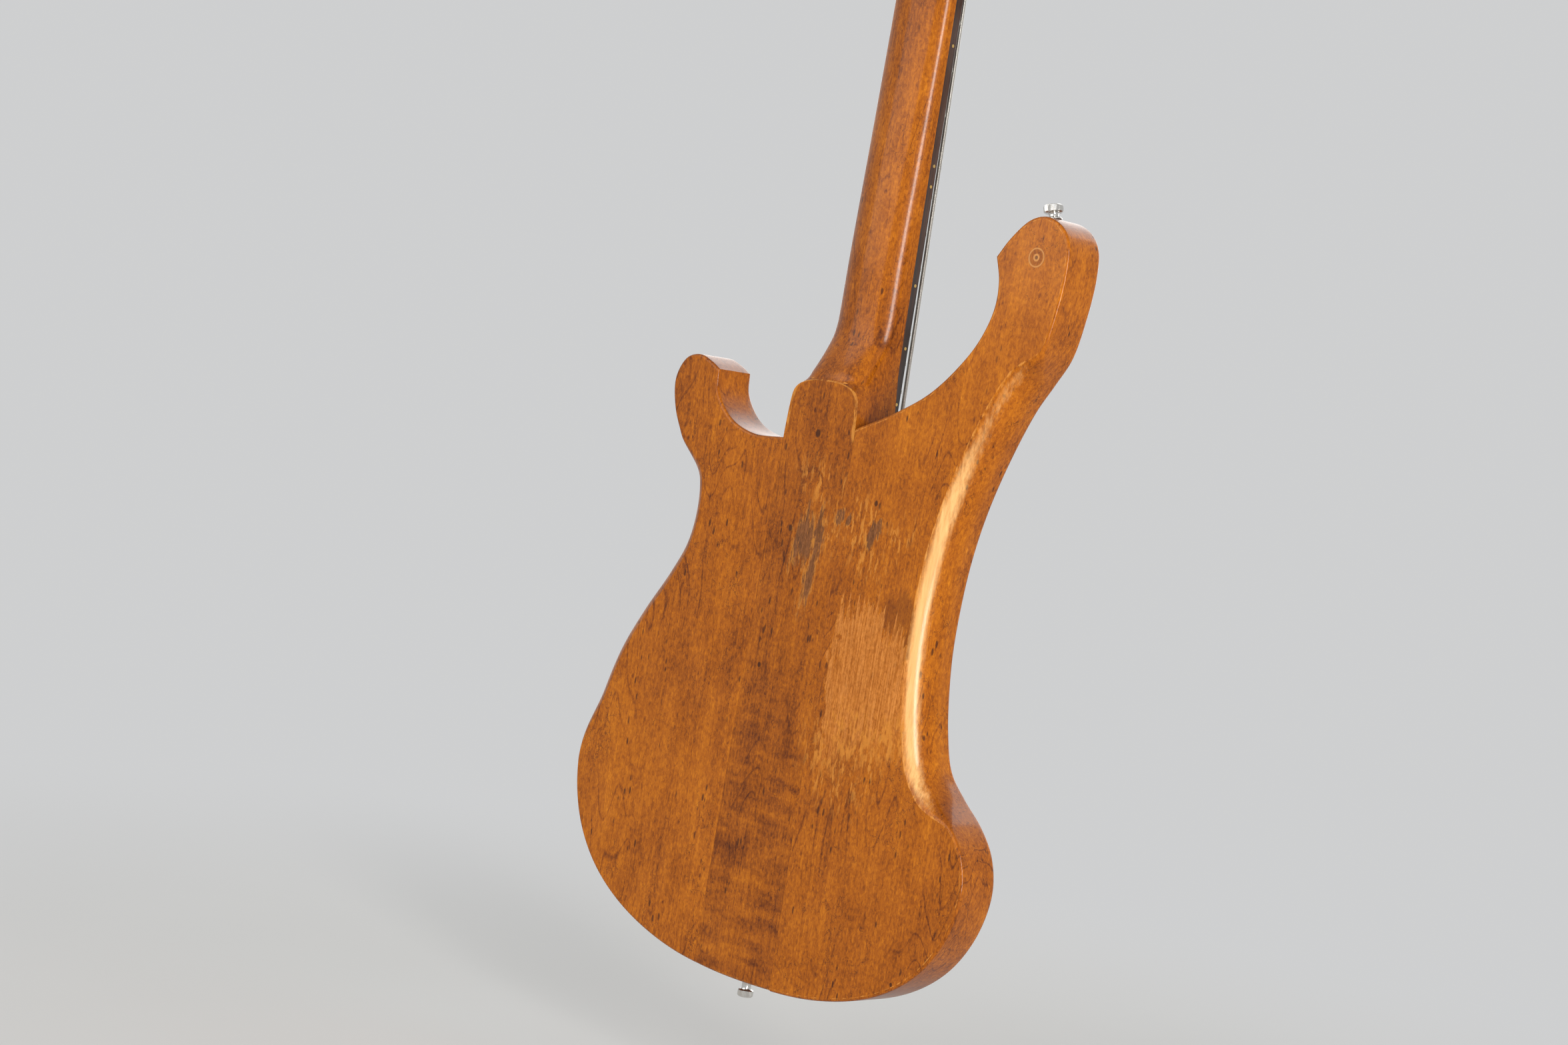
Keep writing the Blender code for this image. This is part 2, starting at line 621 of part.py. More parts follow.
def make_neck_blank(material):
    """Neck, heel tongue, centre strip and the core of the headstock, carved from one blank."""
    rings = []
    for k in range(3):
        angle = 0.5 * math.pi * k / 2.0
        front = FRONT_EDGE * (1.0 - math.sin(angle))
        back = BODY_THICKNESS - BACK_EDGE * (1.0 - math.sin(angle))
        ring = []
        for x, y in block_ring(strip_half(TAIL_Z), front, back):
            nearer = FRONT_EDGE if y < 0.5 * BODY_THICKNESS else BACK_EDGE
            ring.append((x, y, outline_z(x) + nearer * (1.0 - math.cos(angle))))
        rings.append(ring)
    shape = [(fret_z(fret) + FRET_WIDTH / 2, depth, power) for fret, depth, power in NECK_BY_FRET]
    shape += [(height - SCALE_LENGTH, depth, power) for height, depth, power in HEEL_BY_BRIDGE]
    widths = [(height - SCALE_LENGTH, half) for height, half in HEEL_WIDTHS]
    heights = [row[0] for row in shape][::-1]
    stations = [TAIL_Z + TAIL_BLOCK, BOARD_END_Z - STEP_LOW, BOARD_END_Z - STEP_HIGH]
    for low, high in zip(heights, heights[1:]):
        stations += [low, 0.5 * (low + high)]
    for z in sorted(stations) + [heights[-1]]:
        front = 0.0 if z <= BOARD_END_Z - STEP_LOW else NECK_FACE_Y
        if z < heights[0]:
            ring = block_ring(strip_half(z), front, BODY_THICKNESS)
        else:
            half = board_half(z) if z > widths[0][0] else between(widths, z, 1)
            ring = neck_ring(half, front, NECK_FACE_Y + between(shape, z, 1) - front,
                             between(shape, z, 2), BODY_THICKNESS)
        rings.append([(x, y, z) for x, y in ring])
    for z, depth, power in NECK_TO_HEAD:
        ring = neck_ring(HEAD_SEAM - FIT, 0.0, depth, power, 1.0)
        rings.append([HEAD_FRAME @ Vector((x, y, z)) for x, y in ring])
    for z in HEAD_BLOCK:
        ring = block_ring(HEAD_SEAM, 0.0, HEAD_THICKNESS)
        rings.append([HEAD_FRAME @ Vector((x, y, z)) for x, y in ring])
    for k in range(3):
        angle = 0.5 * math.pi * k / 2.0
        inset = HEAD_EDGE * (1.0 - math.cos(angle))
        ring = block_ring(HEAD_SEAM, inset, HEAD_THICKNESS - inset)
        rings.append([HEAD_FRAME @ Vector((x, y, HEAD_TIP - HEAD_TIP_DROP * (x / HEAD_SEAM) ** 2
                                           - HEAD_EDGE * (1.0 - math.sin(angle))))
                      for x, y in ring])
    blank = add_piece("neck_blank", skin(bmesh.new(), rings), material, smooth=32.0)

    channels = bmesh.new()
    for side in (-1.0, 1.0):
        middle = side * TRUSS_SPREAD
        box((middle - TRUSS_WIDTH / 2, CUT_FRONT_Y, TRUSS_LOW), (middle + TRUSS_WIDTH / 2,
            NECK_FACE_Y + TRUSS_DEPTH, HEAD_START_Z + 2.0 * POCKET_STEP), channels)
    cut(blank, add_cutter("truss_channels", channels))
    pocket = box((-TRUSS_POCKET, CUT_FRONT_Y, HEAD_START_Z + POCKET_STEP),
                 (TRUSS_POCKET, NECK_FACE_Y + POCKET_DEPTH, POCKET_TOP))
    cut(blank, add_cutter("truss_pocket", pocket))
    return blank


def head_levels(point):
    """Edge section of the headstock, rounded in front and behind."""
    slant = 0.29 * HEAD_EDGE
    return [(HEAD_EDGE, 0.0), (slant, slant), (0.0, HEAD_EDGE),
            (0.0, HEAD_THICKNESS - HEAD_EDGE), (slant, HEAD_THICKNESS - slant),
            (HEAD_EDGE, HEAD_THICKNESS)]


def make_head_wing(name, side, material, head):
    """An ear of the headstock, glued beside its core."""
    right = smooth_curve(HEAD_OUTLINE, HEAD_STEP)
    outline = right + [Vector((-p.x, p.y)) for p in right[-2::-1]]
    shape = slab(outline, head_levels)
    keep_side(shape, (side * (HEAD_SEAM + FIT), 0.0, 0.0), (-side, 0.0, 0.0))
    return add_piece(name, shape, material, head, smooth=32.0)


# Fingerboard with its frets, and the nut

def make_fingerboard(material):
    """The board, flat underneath, cambered and tapered, with a domed fret in each slot."""
    stations = [(BOARD_END_Z, 0.0)]
    for number in range(FRET_COUNT, 0, -1):
        z = fret_z(number)
        stations += [(z - FRET_WIDTH / 2, 0.0), (z - FRET_WIDTH / 5, FRET_HEIGHT),
                     (z + FRET_WIDTH / 5, FRET_HEIGHT), (z + FRET_WIDTH / 2, 0.0)]
    stations.append((-FIT, 0.0))
    rings = []
    for z, rise in stations:
        half = board_half(z)
        ring = []
        for k in range(BOARD_STEPS + 1):
            x = half * (1.0 - 2.0 * k / BOARD_STEPS)
            ring.append((x, board_y(x) - (rise if 0 < k < BOARD_STEPS else 0.0), z))
        ring[1] = (ring[0][0] - FRET_BEVEL, ring[1][1] + board_y(half) - board_y(ring[1][0]), z)
        ring[-2] = (-ring[1][0], ring[1][1], z)
        rings.append(ring + [(-half, NECK_FACE_Y - FIT, z), (half, NECK_FACE_Y - FIT, z)])
    add_piece("fingerboard", skin(bmesh.new(), rings), material)


def make_nut(material):
    """A block with four string slots."""
    half = board_half(0.0) - FIT
    top = STRING_NUT_BOTTOM - NUT_RISE
    floor = STRING_NUT_BOTTOM + NUT_SLOT_ROOM
    outline = [(-half, NECK_FACE_Y - FIT), (-half, top + NUT_CORNER), (-half + NUT_CORNER, top)]
    for number, name in enumerate(STRINGS):
        x = string_x(number, 0.5 * NUT_LENGTH)
        room = STRING_RADII[name] + NUT_SLOT_ROOM
        outline += [(x - room, top), (x - 0.6 * room, floor), (x + 0.6 * room, floor),
                    (x + room, top)]
    outline += [(half - NUT_CORNER, top), (half, top + NUT_CORNER), (half, NECK_FACE_Y - FIT)]
    rings = [[(x, y, z) for x, y in outline] for z in (FIT, NUT_LENGTH)]
    add_piece("nut", skin(bmesh.new(), rings), material)


# Inside the neck

def make_truss_rods(steel, plastic, head):
    """Two steel rods under the board, each with its nut, and the blank cover over them."""
    middle_y = NECK_FACE_Y + TRUSS_DEPTH - TRUSS_ROD_RADIUS - FIT
    for name, side in (("bass", -1.0), ("treble", 1.0)):
        profile = ((0.0, TRUSS_LOW + FIT), (TRUSS_ROD_RADIUS, TRUSS_LOW + FIT),
                   (TRUSS_ROD_RADIUS, TRUSS_NUT_LOW),
                   (TRUSS_NUT_RADIUS, TRUSS_NUT_LOW + TRUSS_NUT_BEVEL),
                   (TRUSS_NUT_RADIUS, TRUSS_NUT_LOW + TRUSS_NUT_LENGTH),
                   (TRUSS_ROD_RADIUS, TRUSS_ROD_END), (0.0, TRUSS_ROD_END))
        shape = turned(profile, 6, None, (side * TRUSS_SPREAD, middle_y, 0.0), "Z")
        add_piece("truss_rod_" + name, shape, steel)
    cover = prism(TRUSS_COVER, -FIT - TRUSS_COVER_THICKNESS, -FIT)
    add_piece("truss_cover", cover, plastic, head)


# Tuners

def make_plate(name, material, head):
    """Base plate with two ears that carry the key's shaft, and the bushing in front."""
    x, z = POST_PLACES[name]
    base = HEAD_THICKNESS + FIT
    top = base + PLATE_THICKNESS
    ear_top = HEAD_THICKNESS + KEY_AXIS_LIFT + EAR_ABOVE_AXIS
    low = -WHEEL_PITCH_RADIUS - WORM_PITCH_RADIUS - EAR_LENGTH / 2
    ear_in = PLATE_HALF_WIDTH - EAR_THICKNESS
    profile = ((-PLATE_HALF_WIDTH, base), (PLATE_HALF_WIDTH, base),
               (PLATE_HALF_WIDTH, ear_top), (ear_in, ear_top), (ear_in, top),
               (-ear_in, top), (-ear_in, ear_top), (-PLATE_HALF_WIDTH, ear_top))
    rings = [[(a, b, level) for a, b in profile] for level in (low, PLATE_ABOVE)]
    plate = add_piece("tuner_plate_" + name, skin(bmesh.new(), rings), material, head,
                      (x, 0.0, z))
    trim = box((-PLATE_HALF_WIDTH - CUT_PAST, top, low + EAR_LENGTH),
               (PLATE_HALF_WIDTH + CUT_PAST, ear_top + CUT_PAST, PLATE_ABOVE + CUT_PAST))
    cut(plate, add_cutter("ear_trim_" + name, trim, head, (x, 0.0, z)))
    bores = rod(POST_RADIUS + 2.0 * FIT, base - CUT_PAST, top + CUT_PAST, 12)
    reach = PLATE_HALF_WIDTH + CUT_PAST
    rod(KEY_SHAFT_RADIUS + FIT, -reach, reach, 12, bores,
        (0.0, HEAD_THICKNESS + KEY_AXIS_LIFT, low + EAR_LENGTH / 2), "X")
    cut(plate, add_cutter("tuner_bores_" + name, bores, head, (x, 0.0, z)))


def make_bushing(name, material, head):
    """A flanged sleeve, pressed into the headstock from the front."""
    x, z = POST_PLACES[name]
    bore = POST_RADIUS + 1.5 * FIT
    wall = bore + BUSHING_WALL
    rim = wall + BUSHING_RIM
    profile = ((bore, -FIT - BUSHING_FLANGE), (rim, -FIT - BUSHING_FLANGE), (rim, -FIT),
               (wall, -FIT), (wall, HEAD_THICKNESS - FIT), (bore, HEAD_THICKNESS - FIT))
    add_piece("tuner_bushing_" + name, sleeve(bmesh.new(), profile, 12), material, head,
              (x, 0.0, z), smooth=40.0)


def sleeve(shape, profile, sides):
    """Revolve a closed (radius, height) profile that stays off the axis, about Y."""
    rings = []
    for k in range(sides):
        angle = 2.0 * math.pi * (k + 0.5) / sides
        rings.append([shape.verts.new((r * math.sin(angle), h, r * math.cos(angle)))
                      for r, h in profile])
    for k in range(sides):
        this, following = rings[k], rings[(k + 1) % sides]
        for j in range(len(profile)):
            n = (j + 1) % len(profile)
            shape.faces.new((this[j], this[n], following[n], following[j]))
    return shape


def make_post(name, slot_angle, material, head):
    """A string post: slotted on top, with a journal and a riveted end for the wheel."""
    x, z = POST_PLACES[name]
    wheel_low = HEAD_THICKNESS + KEY_AXIS_LIFT - WHEEL_THICKNESS / 2
    wheel_high = wheel_low + WHEEL_THICKNESS
    journal = WHEEL_BORE - FIT
    profile = ((0.0, POST_TOP), (POST_RADIUS - 0.0006, POST_TOP),
               (POST_RADIUS, POST_TOP + 0.0006), (POST_RADIUS, wheel_low - FIT),
               (journal, wheel_low - FIT), (journal, wheel_high + FIT),
               (POST_RADIUS - 0.0004, wheel_high + FIT),
               (POST_RADIUS - 0.0012, wheel_high + FIT + 0.0012),
               (0.0, wheel_high + FIT + 0.0012))
    post = add_piece("tuner_post_" + name, turned(profile, 12), material, head, (x, 0.0, z),
                     smooth=40.0)
    half = POST_SLOT_WIDTH / 2
    slot = box((-0.0080, POST_TOP - 0.0010, -half), (0.0080, POST_SLOT_FLOOR, half))
    bmesh.ops.rotate(slot, verts=slot.verts, matrix=Matrix.Rotation(-slot_angle, 3, "Y"))
    cut(post, add_cutter("post_slot_" + name, slot, head, (x, 0.0, z)))


def make_wheel(name, material, head):
    """The worm wheel: straight-sided teeth, skewed to lie along the worm's thread."""
    x, z = POST_PLACES[name]
    middle = HEAD_THICKNESS + KEY_AXIS_LIFT
    pitch = 2.0 * math.pi * WHEEL_PITCH_RADIUS / WHEEL_TEETH
    thread_slope = pitch / (2.0 * math.pi * WORM_PITCH_RADIUS)
    half_tooth = pitch / 4.0 - TOOTH_BACKLASH / 2.0
    lean = math.tan(math.radians(20.0))
    root = WHEEL_PITCH_RADIUS - TOOTH_ADDENDUM - TOOTH_CLEARANCE
    tip = WHEEL_PITCH_RADIUS + TOOTH_ADDENDUM
    rings = []
    for level in (-WHEEL_THICKNESS / 2, WHEEL_THICKNESS / 2):
        twist = level * thread_slope / WHEEL_PITCH_RADIUS
        ring = []
        for tooth in range(WHEEL_TEETH):
            middle_angle = math.pi + 2.0 * math.pi * tooth / WHEEL_TEETH + twist
            for side, radius in ((-1, root), (-1, tip), (1, tip), (1, root)):
                half = half_tooth - (radius - WHEEL_PITCH_RADIUS) * lean
                angle = middle_angle + side * half / radius
                ring.append((radius * math.sin(angle), middle + level, radius * math.cos(angle)))
        rings.append(ring)
    wheel = add_piece("tuner_wheel_" + name, skin(bmesh.new(), rings), material, head,
                      (x, 0.0, z))
    bore = rod(WHEEL_BORE, middle - WHEEL_THICKNESS, middle + WHEEL_THICKNESS, 10)
    cut(wheel, add_cutter("wheel_bore_" + name, bore, head, (x, 0.0, z)))


def make_key(name, material, head):
    """Key: a worm between two collars, its shaft through both ears, and a paddle button."""
    x, z = POST_PLACES[name]
    side = math.copysign(1.0, x)
    pitch = 2.0 * math.pi * WHEEL_PITCH_RADIUS / WHEEL_TEETH
    crest = WORM_PITCH_RADIUS + TOOTH_ADDENDUM
    root = WORM_PITCH_RADIUS - TOOTH_ADDENDUM - TOOTH_CLEARANCE
    half_tooth = pitch / 4.0 - TOOTH_BACKLASH / 2.0
    lean = math.tan(math.radians(20.0))
    crest_half = (half_tooth - TOOTH_ADDENDUM * lean) / pitch
    root_half = (half_tooth + (TOOTH_ADDENDUM + TOOTH_CLEARANCE) * lean) / pitch

    def thread_radius(place, angle):
        """Radius of the worm: its groove faces the wheel at the post's own x."""
        phase = (place / pitch - (angle - 0.5 * math.pi) / (2.0 * math.pi) + 0.5) % 1.0
        away = min(phase, 1.0 - phase)
        share = (root_half - away) / (root_half - crest_half)
        return root + (crest - root) * min(1.0, max(0.0, share))

    def ring(place, flat, tall):
        return [(place, flat * math.cos(a), tall * math.sin(a)) for a in angles]

    angles = [2.0 * math.pi * k / WORM_SIDES for k in range(WORM_SIDES)]
    shaft = KEY_SHAFT_RADIUS
    ear_in = PLATE_HALF_WIDTH - EAR_THICKNESS
    collar = ear_in - FIT
    reach = WORM_TURNS * pitch / 2.0
    round_collar = (COLLAR_RADIUS, COLLAR_RADIUS)
    rings = [ring(-PLATE_HALF_WIDTH - KEY_END, shaft, shaft), ring(-collar, shaft, shaft),
             ring(-collar, *round_collar), ring(-collar + COLLAR_LENGTH, *round_collar)]
    rows = WORM_TURNS * WORM_STEPS
    for k in range(rows + 1):
        place = -reach + 2.0 * reach * k / rows
        row = []
        for a in angles:
            radius = thread_radius(side * place, a)
            row.append((place, radius * math.cos(a), radius * math.sin(a)))
        rings.append(row)
    start = PLATE_HALF_WIDTH + KEY_STEM
    rings += [ring(collar - COLLAR_LENGTH, *round_collar), ring(collar, *round_collar),
              ring(collar, shaft, shaft), ring(start, shaft, shaft)]
    rings += [ring(start + (KEY_LENGTH - start) * far, flat, tall)
              for far, flat, tall in KEY_PADDLE]
    rings = [[(side * a, b, c) for a, b, c in row] for row in rings]
    drop = WHEEL_PITCH_RADIUS + WORM_PITCH_RADIUS
    add_piece("tuner_key_" + name, skin(bmesh.new(), rings), material, head,
              (x, HEAD_THICKNESS + KEY_AXIS_LIFT, z - drop), smooth=35.0)


# Strings

def winding(name, number):
    """Head part of a string: its points in the head's frame, and the post's slot angle."""
    radius = STRING_RADII[name]
    x, z = POST_PLACES[name]
    way = -math.copysign(1.0, x)
    coil = POST_RADIUS + FIT + radius
    nut_exit = HEAD_FRAME.inverted() @ Vector((string_x(number, 0.0),
                                               STRING_NUT_BOTTOM - radius, NUT_LENGTH))
    gap = Vector((x - nut_exit.x, z - nut_exit.z))
    bearing = math.atan2(gap.y, gap.x) - way * math.asin(coil / gap.length)
    start = bearing - way * 0.5 * math.pi
    bend = radius + SLOT_BEND
    reach = math.hypot(SLOT_RUN + bend, bend)
    lead = math.atan2(bend, SLOT_RUN + bend)
    total = 2.0 * math.pi * WINDING_TURNS[name]
    slot_angle = start + way * (total + lead)
    count = round(WINDING_TURNS[name] * LOOP_POINTS)
    points = []
    for k in range(count + 1):
        share = k / count
        angle = start + way * total * share
        wide = coil + (reach - coil) * ease((share - 1.0) * WINDING_TURNS[name] * 4.0 + 1.0)
        height = WINDING_LOW + (WINDING_HIGH - WINDING_LOW) * share
        points.append(Vector((x + wide * math.cos(angle), height, z + wide * math.sin(angle))))
    out = Vector((math.cos(slot_angle), 0.0, math.sin(slot_angle)))
    aside = Vector((-math.sin(slot_angle), 0.0, math.cos(slot_angle))) * way
    post = Vector((x, WINDING_HIGH, z))
    centre = post + out * SLOT_RUN - aside * bend
    for angle in (math.radians(30.0), math.radians(60.0), math.radians(90.0)):
        points.append(centre + bend * (out * math.cos(angle) + aside * math.sin(angle)))
    points.append(post + out * 0.0022)
    points.append(post)
    return nut_exit, points, slot_angle


def least_gap(points, diameter):
    """Least clear distance between parts of a tube that aren't next to each other."""
    places = np.array([tuple(p) for p in points])
    fine = np.concatenate([places[:-1] + (places[1:] - places[:-1]) * t
                           for t in np.linspace(0.0, 1.0, 6)[:-1]])
    order = np.concatenate([np.arange(len(places) - 1) + t
                            for t in np.linspace(0.0, 1.0, 6)[:-1]])
    fine = fine[np.argsort(order)]
    steps = np.linalg.norm(np.diff(fine, axis=0), axis=1)
    run = np.concatenate([[0.0], np.cumsum(steps)])
    apart = np.linalg.norm(fine[:, None] - fine[None], axis=2)
    far = np.abs(run[:, None] - run[None]) > 4.0 * diameter
    return float(apart[far].min()) - diameter


def make_string(name, number, material):
    """One unbroken tube: ball end, saddle, nut, turns on the post, and the end in its slot."""
    radius = STRING_RADII[name]
    break_z = saddle_z(name)
    anchor_back = ANCHOR_Z - ANCHOR_THICKNESS / 2
    rest_y = STRING_SADDLE_BOTTOM - radius
    nut_y = STRING_NUT_BOTTOM - radius
    ball = BALL_RADIUS / radius
    slope = (STRING_AT_ANCHOR_Y - rest_y) / (ANCHOR_Z - break_z)
    back_y = STRING_AT_ANCHOR_Y + slope * (anchor_back - ANCHOR_Z)
    route = [(anchor_back - 0.0063, back_y, 0.5 * ball), (anchor_back - 0.0058, back_y, ball),
             (anchor_back - 0.0009, back_y, ball), (anchor_back - 0.0004, back_y, 0.6 * ball),
             (anchor_back - 0.0003, back_y, 1.0), (ANCHOR_Z, STRING_AT_ANCHOR_Y, 1.0),
             (break_z - 0.0012, rest_y - slope * 0.0012, 1.0), (break_z, rest_y, 1.0),
             (break_z + 0.0012, rest_y, 1.0), (-0.0010, nut_y, 1.0), (0.0002, nut_y, 1.0)]
    points = [(Vector((string_x(number, z), y, z)), size) for z, y, size in route]
    nut_exit, coil, slot_angle = winding(name, number)
    head_points = [HEAD_FRAME @ nut_exit] + [HEAD_FRAME @ p for p in coil]
    points += [(p, 1.0) for p in head_points]
    print("least gap of string", name, "to itself, mm:",
          round(1000.0 * least_gap(head_points, 2.0 * radius), 3))
    curve = bpy.data.curves.new("string_" + name, "CURVE")
    curve.dimensions = "3D"
    curve.bevel_depth = radius
    curve.bevel_resolution = 1
    curve.use_fill_caps = True
    line = curve.splines.new("POLY")
    line.points.add(len(points) - 1)
    for knot, (place, size) in zip(line.points, points):
        knot.co = (*place, 1.0)
        knot.radius = size
    curve.materials.append(material)
    thing = bpy.data.objects.new("string_" + name, curve)
    bpy.context.collection.objects.link(thing)
    return slot_angle


# Bridge and tailpiece

def make_tailpiece(material):
    """A cast plate whose raised bar holds the ball ends in four slots."""
    front = -FIT - TAILPIECE_THICKNESS
    near = ANCHOR_Z + ANCHOR_THICKNESS / 2
    far = ANCHOR_Z - ANCHOR_THICKNESS / 2
    profile = ((-FIT, TAILPIECE_TOP_Z), (-FIT, TAILPIECE_END_Z),
               (front + 0.0010, TAILPIECE_END_Z), (front, TAILPIECE_END_Z + 0.0010),
               (front, far), (-ANCHOR_HEIGHT + 0.0010, far), (-ANCHOR_HEIGHT, far + 0.0010),
               (-ANCHOR_HEIGHT, near - 0.0010), (-ANCHOR_HEIGHT + 0.0010, near),
               (front, near), (front, TAILPIECE_TOP_Z - 0.0010),
               (front + 0.0010, TAILPIECE_TOP_Z))
    plate = add_piece("tailpiece", prism(profile, -TAILPIECE_HALF_WIDTH, TAILPIECE_HALF_WIDTH,
                                         "X"), material)
    slots = bmesh.new()
    for number, name in enumerate(STRINGS):
        x = string_x(number, ANCHOR_Z)
        room = STRING_RADII[name] + ANCHOR_ROOM
        box((x - room, -ANCHOR_HEIGHT - CUT_PAST, far - CUT_PAST),
            (x + room, STRING_AT_ANCHOR_Y + room + ANCHOR_ROOM, near + CUT_PAST), slots)
    cut(plate, add_cutter("anchor_slots", slots))


def make_bridge_frame(material):
    """A channel whose two bars hold the saddles' four long screws."""
    base = -FIT - TAILPIECE_THICKNESS - FIT
    floor = base - FRAME_FLOOR
    low = FRAME_MIDDLE_Z - FRAME_HALF_LENGTH
    high = FRAME_MIDDLE_Z + FRAME_HALF_LENGTH
    profile = ((base, low), (FRAME_TOP_Y, low), (FRAME_TOP_Y, low + FRAME_BAR),
               (floor, low + FRAME_BAR), (floor, high - FRAME_BAR),
               (FRAME_TOP_Y, high - FRAME_BAR), (FRAME_TOP_Y, high), (base, high))
    shape = prism(profile, -FRAME_HALF_WIDTH, FRAME_HALF_WIDTH, "X")
    frame = add_piece("bridge_frame", shape, material)
    screws = bmesh.new()
    for number in range(4):
        turned(((0.0, low - 0.0030), (0.0022, low - 0.0030), (0.0026, low - 0.0024),
                (0.0026, low - 0.0002), (SADDLE_SCREW_RADIUS, low - 0.0002),
                (SADDLE_SCREW_RADIUS, high + 0.0010), (0.0, high + 0.0010)), 6, screws,
               (string_x(number, -SCALE_LENGTH), SADDLE_SCREW_Y, 0.0), "Z")
    cut(frame, add_cutter("saddle_screws", screws), "UNION")


def make_saddle(name, number, material):
    """A saddle with a narrow crest under its string and a hole for its screw."""
    base = -2.0 * FIT - TAILPIECE_THICKNESS - FRAME_FLOOR - FIT
    crest = STRING_SADDLE_BOTTOM + FIT
    x, z = string_x(number, saddle_z(name)), saddle_z(name)
    half = SADDLE_LENGTH / 2
    profile = ((base, -half), (crest + 0.0042, -half), (crest, -0.0005), (crest, 0.0007),
               (crest + 0.0036, half), (base, half))
    shape = prism(profile, -SADDLE_WIDTH / 2, SADDLE_WIDTH / 2, "X")
    saddle = add_piece("saddle_" + name, shape, material, None, (x, 0.0, z))
    hole = rod(SADDLE_SCREW_RADIUS + 0.0005, -half - CUT_PAST, half + CUT_PAST, 10, None,
               (string_x(number, -SCALE_LENGTH) - x, SADDLE_SCREW_Y, 0.0), "Z")
    cut(saddle, add_cutter("saddle_hole_" + name, hole, None, (x, 0.0, z)))


# Pickups

def rounded_block(half_x, half_z, corner):
    """Outline of a rectangle with cut corners, as (x, z)."""
    slant = 0.3 * corner
    return ((half_x - corner, -half_z), (half_x - slant, -half_z + slant),
            (half_x, -half_z + corner), (half_x, half_z - corner),
            (half_x - slant, half_z - slant), (half_x - corner, half_z),
            (-half_x + corner, half_z), (-half_x + slant, half_z - slant),
            (-half_x, half_z - corner), (-half_x, -half_z + corner),
            (-half_x + slant, -half_z + slant), (-half_x + corner, -half_z))


def make_pickups(cover, trim, targets):
    """Two covered pickups in their rings; each hollow crosses the seams."""
    hollows = bmesh.new()
    for name, z in (("neck_pickup", BOARD_END_Z - NECK_PICKUP_DROP),
                    ("bridge_pickup", BRIDGE_PICKUP_HEIGHT - SCALE_LENGTH)):
        shape = bmesh.new()
        rings = []
        for shrink, y in ((0.0, PICKUP_DEPTH), (0.0, PICKUP_TOP_Y + PICKUP_EDGE),
                          (PICKUP_EDGE, PICKUP_TOP_Y)):
            outline = rounded_block(PICKUP_HALF_WIDTH - shrink, PICKUP_HALF_LENGTH - shrink,
                                    PICKUP_CORNER)
            rings.append([(a, y, z + b) for a, b in outline])
        add_piece(name, skin(shape, rings), cover)
        ring = bmesh.new()
        inner = rounded_block(PICKUP_HALF_WIDTH + FIT, PICKUP_HALF_LENGTH + FIT, PICKUP_CORNER)
        outer = rounded_block(PICKUP_HALF_WIDTH + FIT + RING_WIDTH,
                              PICKUP_HALF_LENGTH + FIT + RING_WIDTH, PICKUP_CORNER + RING_WIDTH / 2)
        loops = [[ring.verts.new((a, y, z + b)) for a, b in line]
                 for line, y in ((inner, -FIT), (outer, -FIT), (outer, -FIT - RING_THICKNESS),
                                 (inner, -FIT - RING_THICKNESS))]
        for k in range(4):
            low, high = loops[k], loops[(k + 1) % 4]
            for j in range(len(low)):
                n = (j + 1) % len(low)
                ring.faces.new((low[j], low[n], high[n], high[j]))
        add_piece(name + "_ring", ring, trim)
        half_x, half_z = PICKUP_HALF_WIDTH + PICKUP_ROOM, PICKUP_HALF_LENGTH + PICKUP_ROOM
        box((-half_x, CUT_FRONT_Y, z - half_z), (half_x, PICKUP_DEPTH + PICKUP_ROOM, z + half_z),
            hollows)
    tool = add_cutter("pickup_hollows", hollows)
    for target in targets:
        cut(target, tool)


# Controls

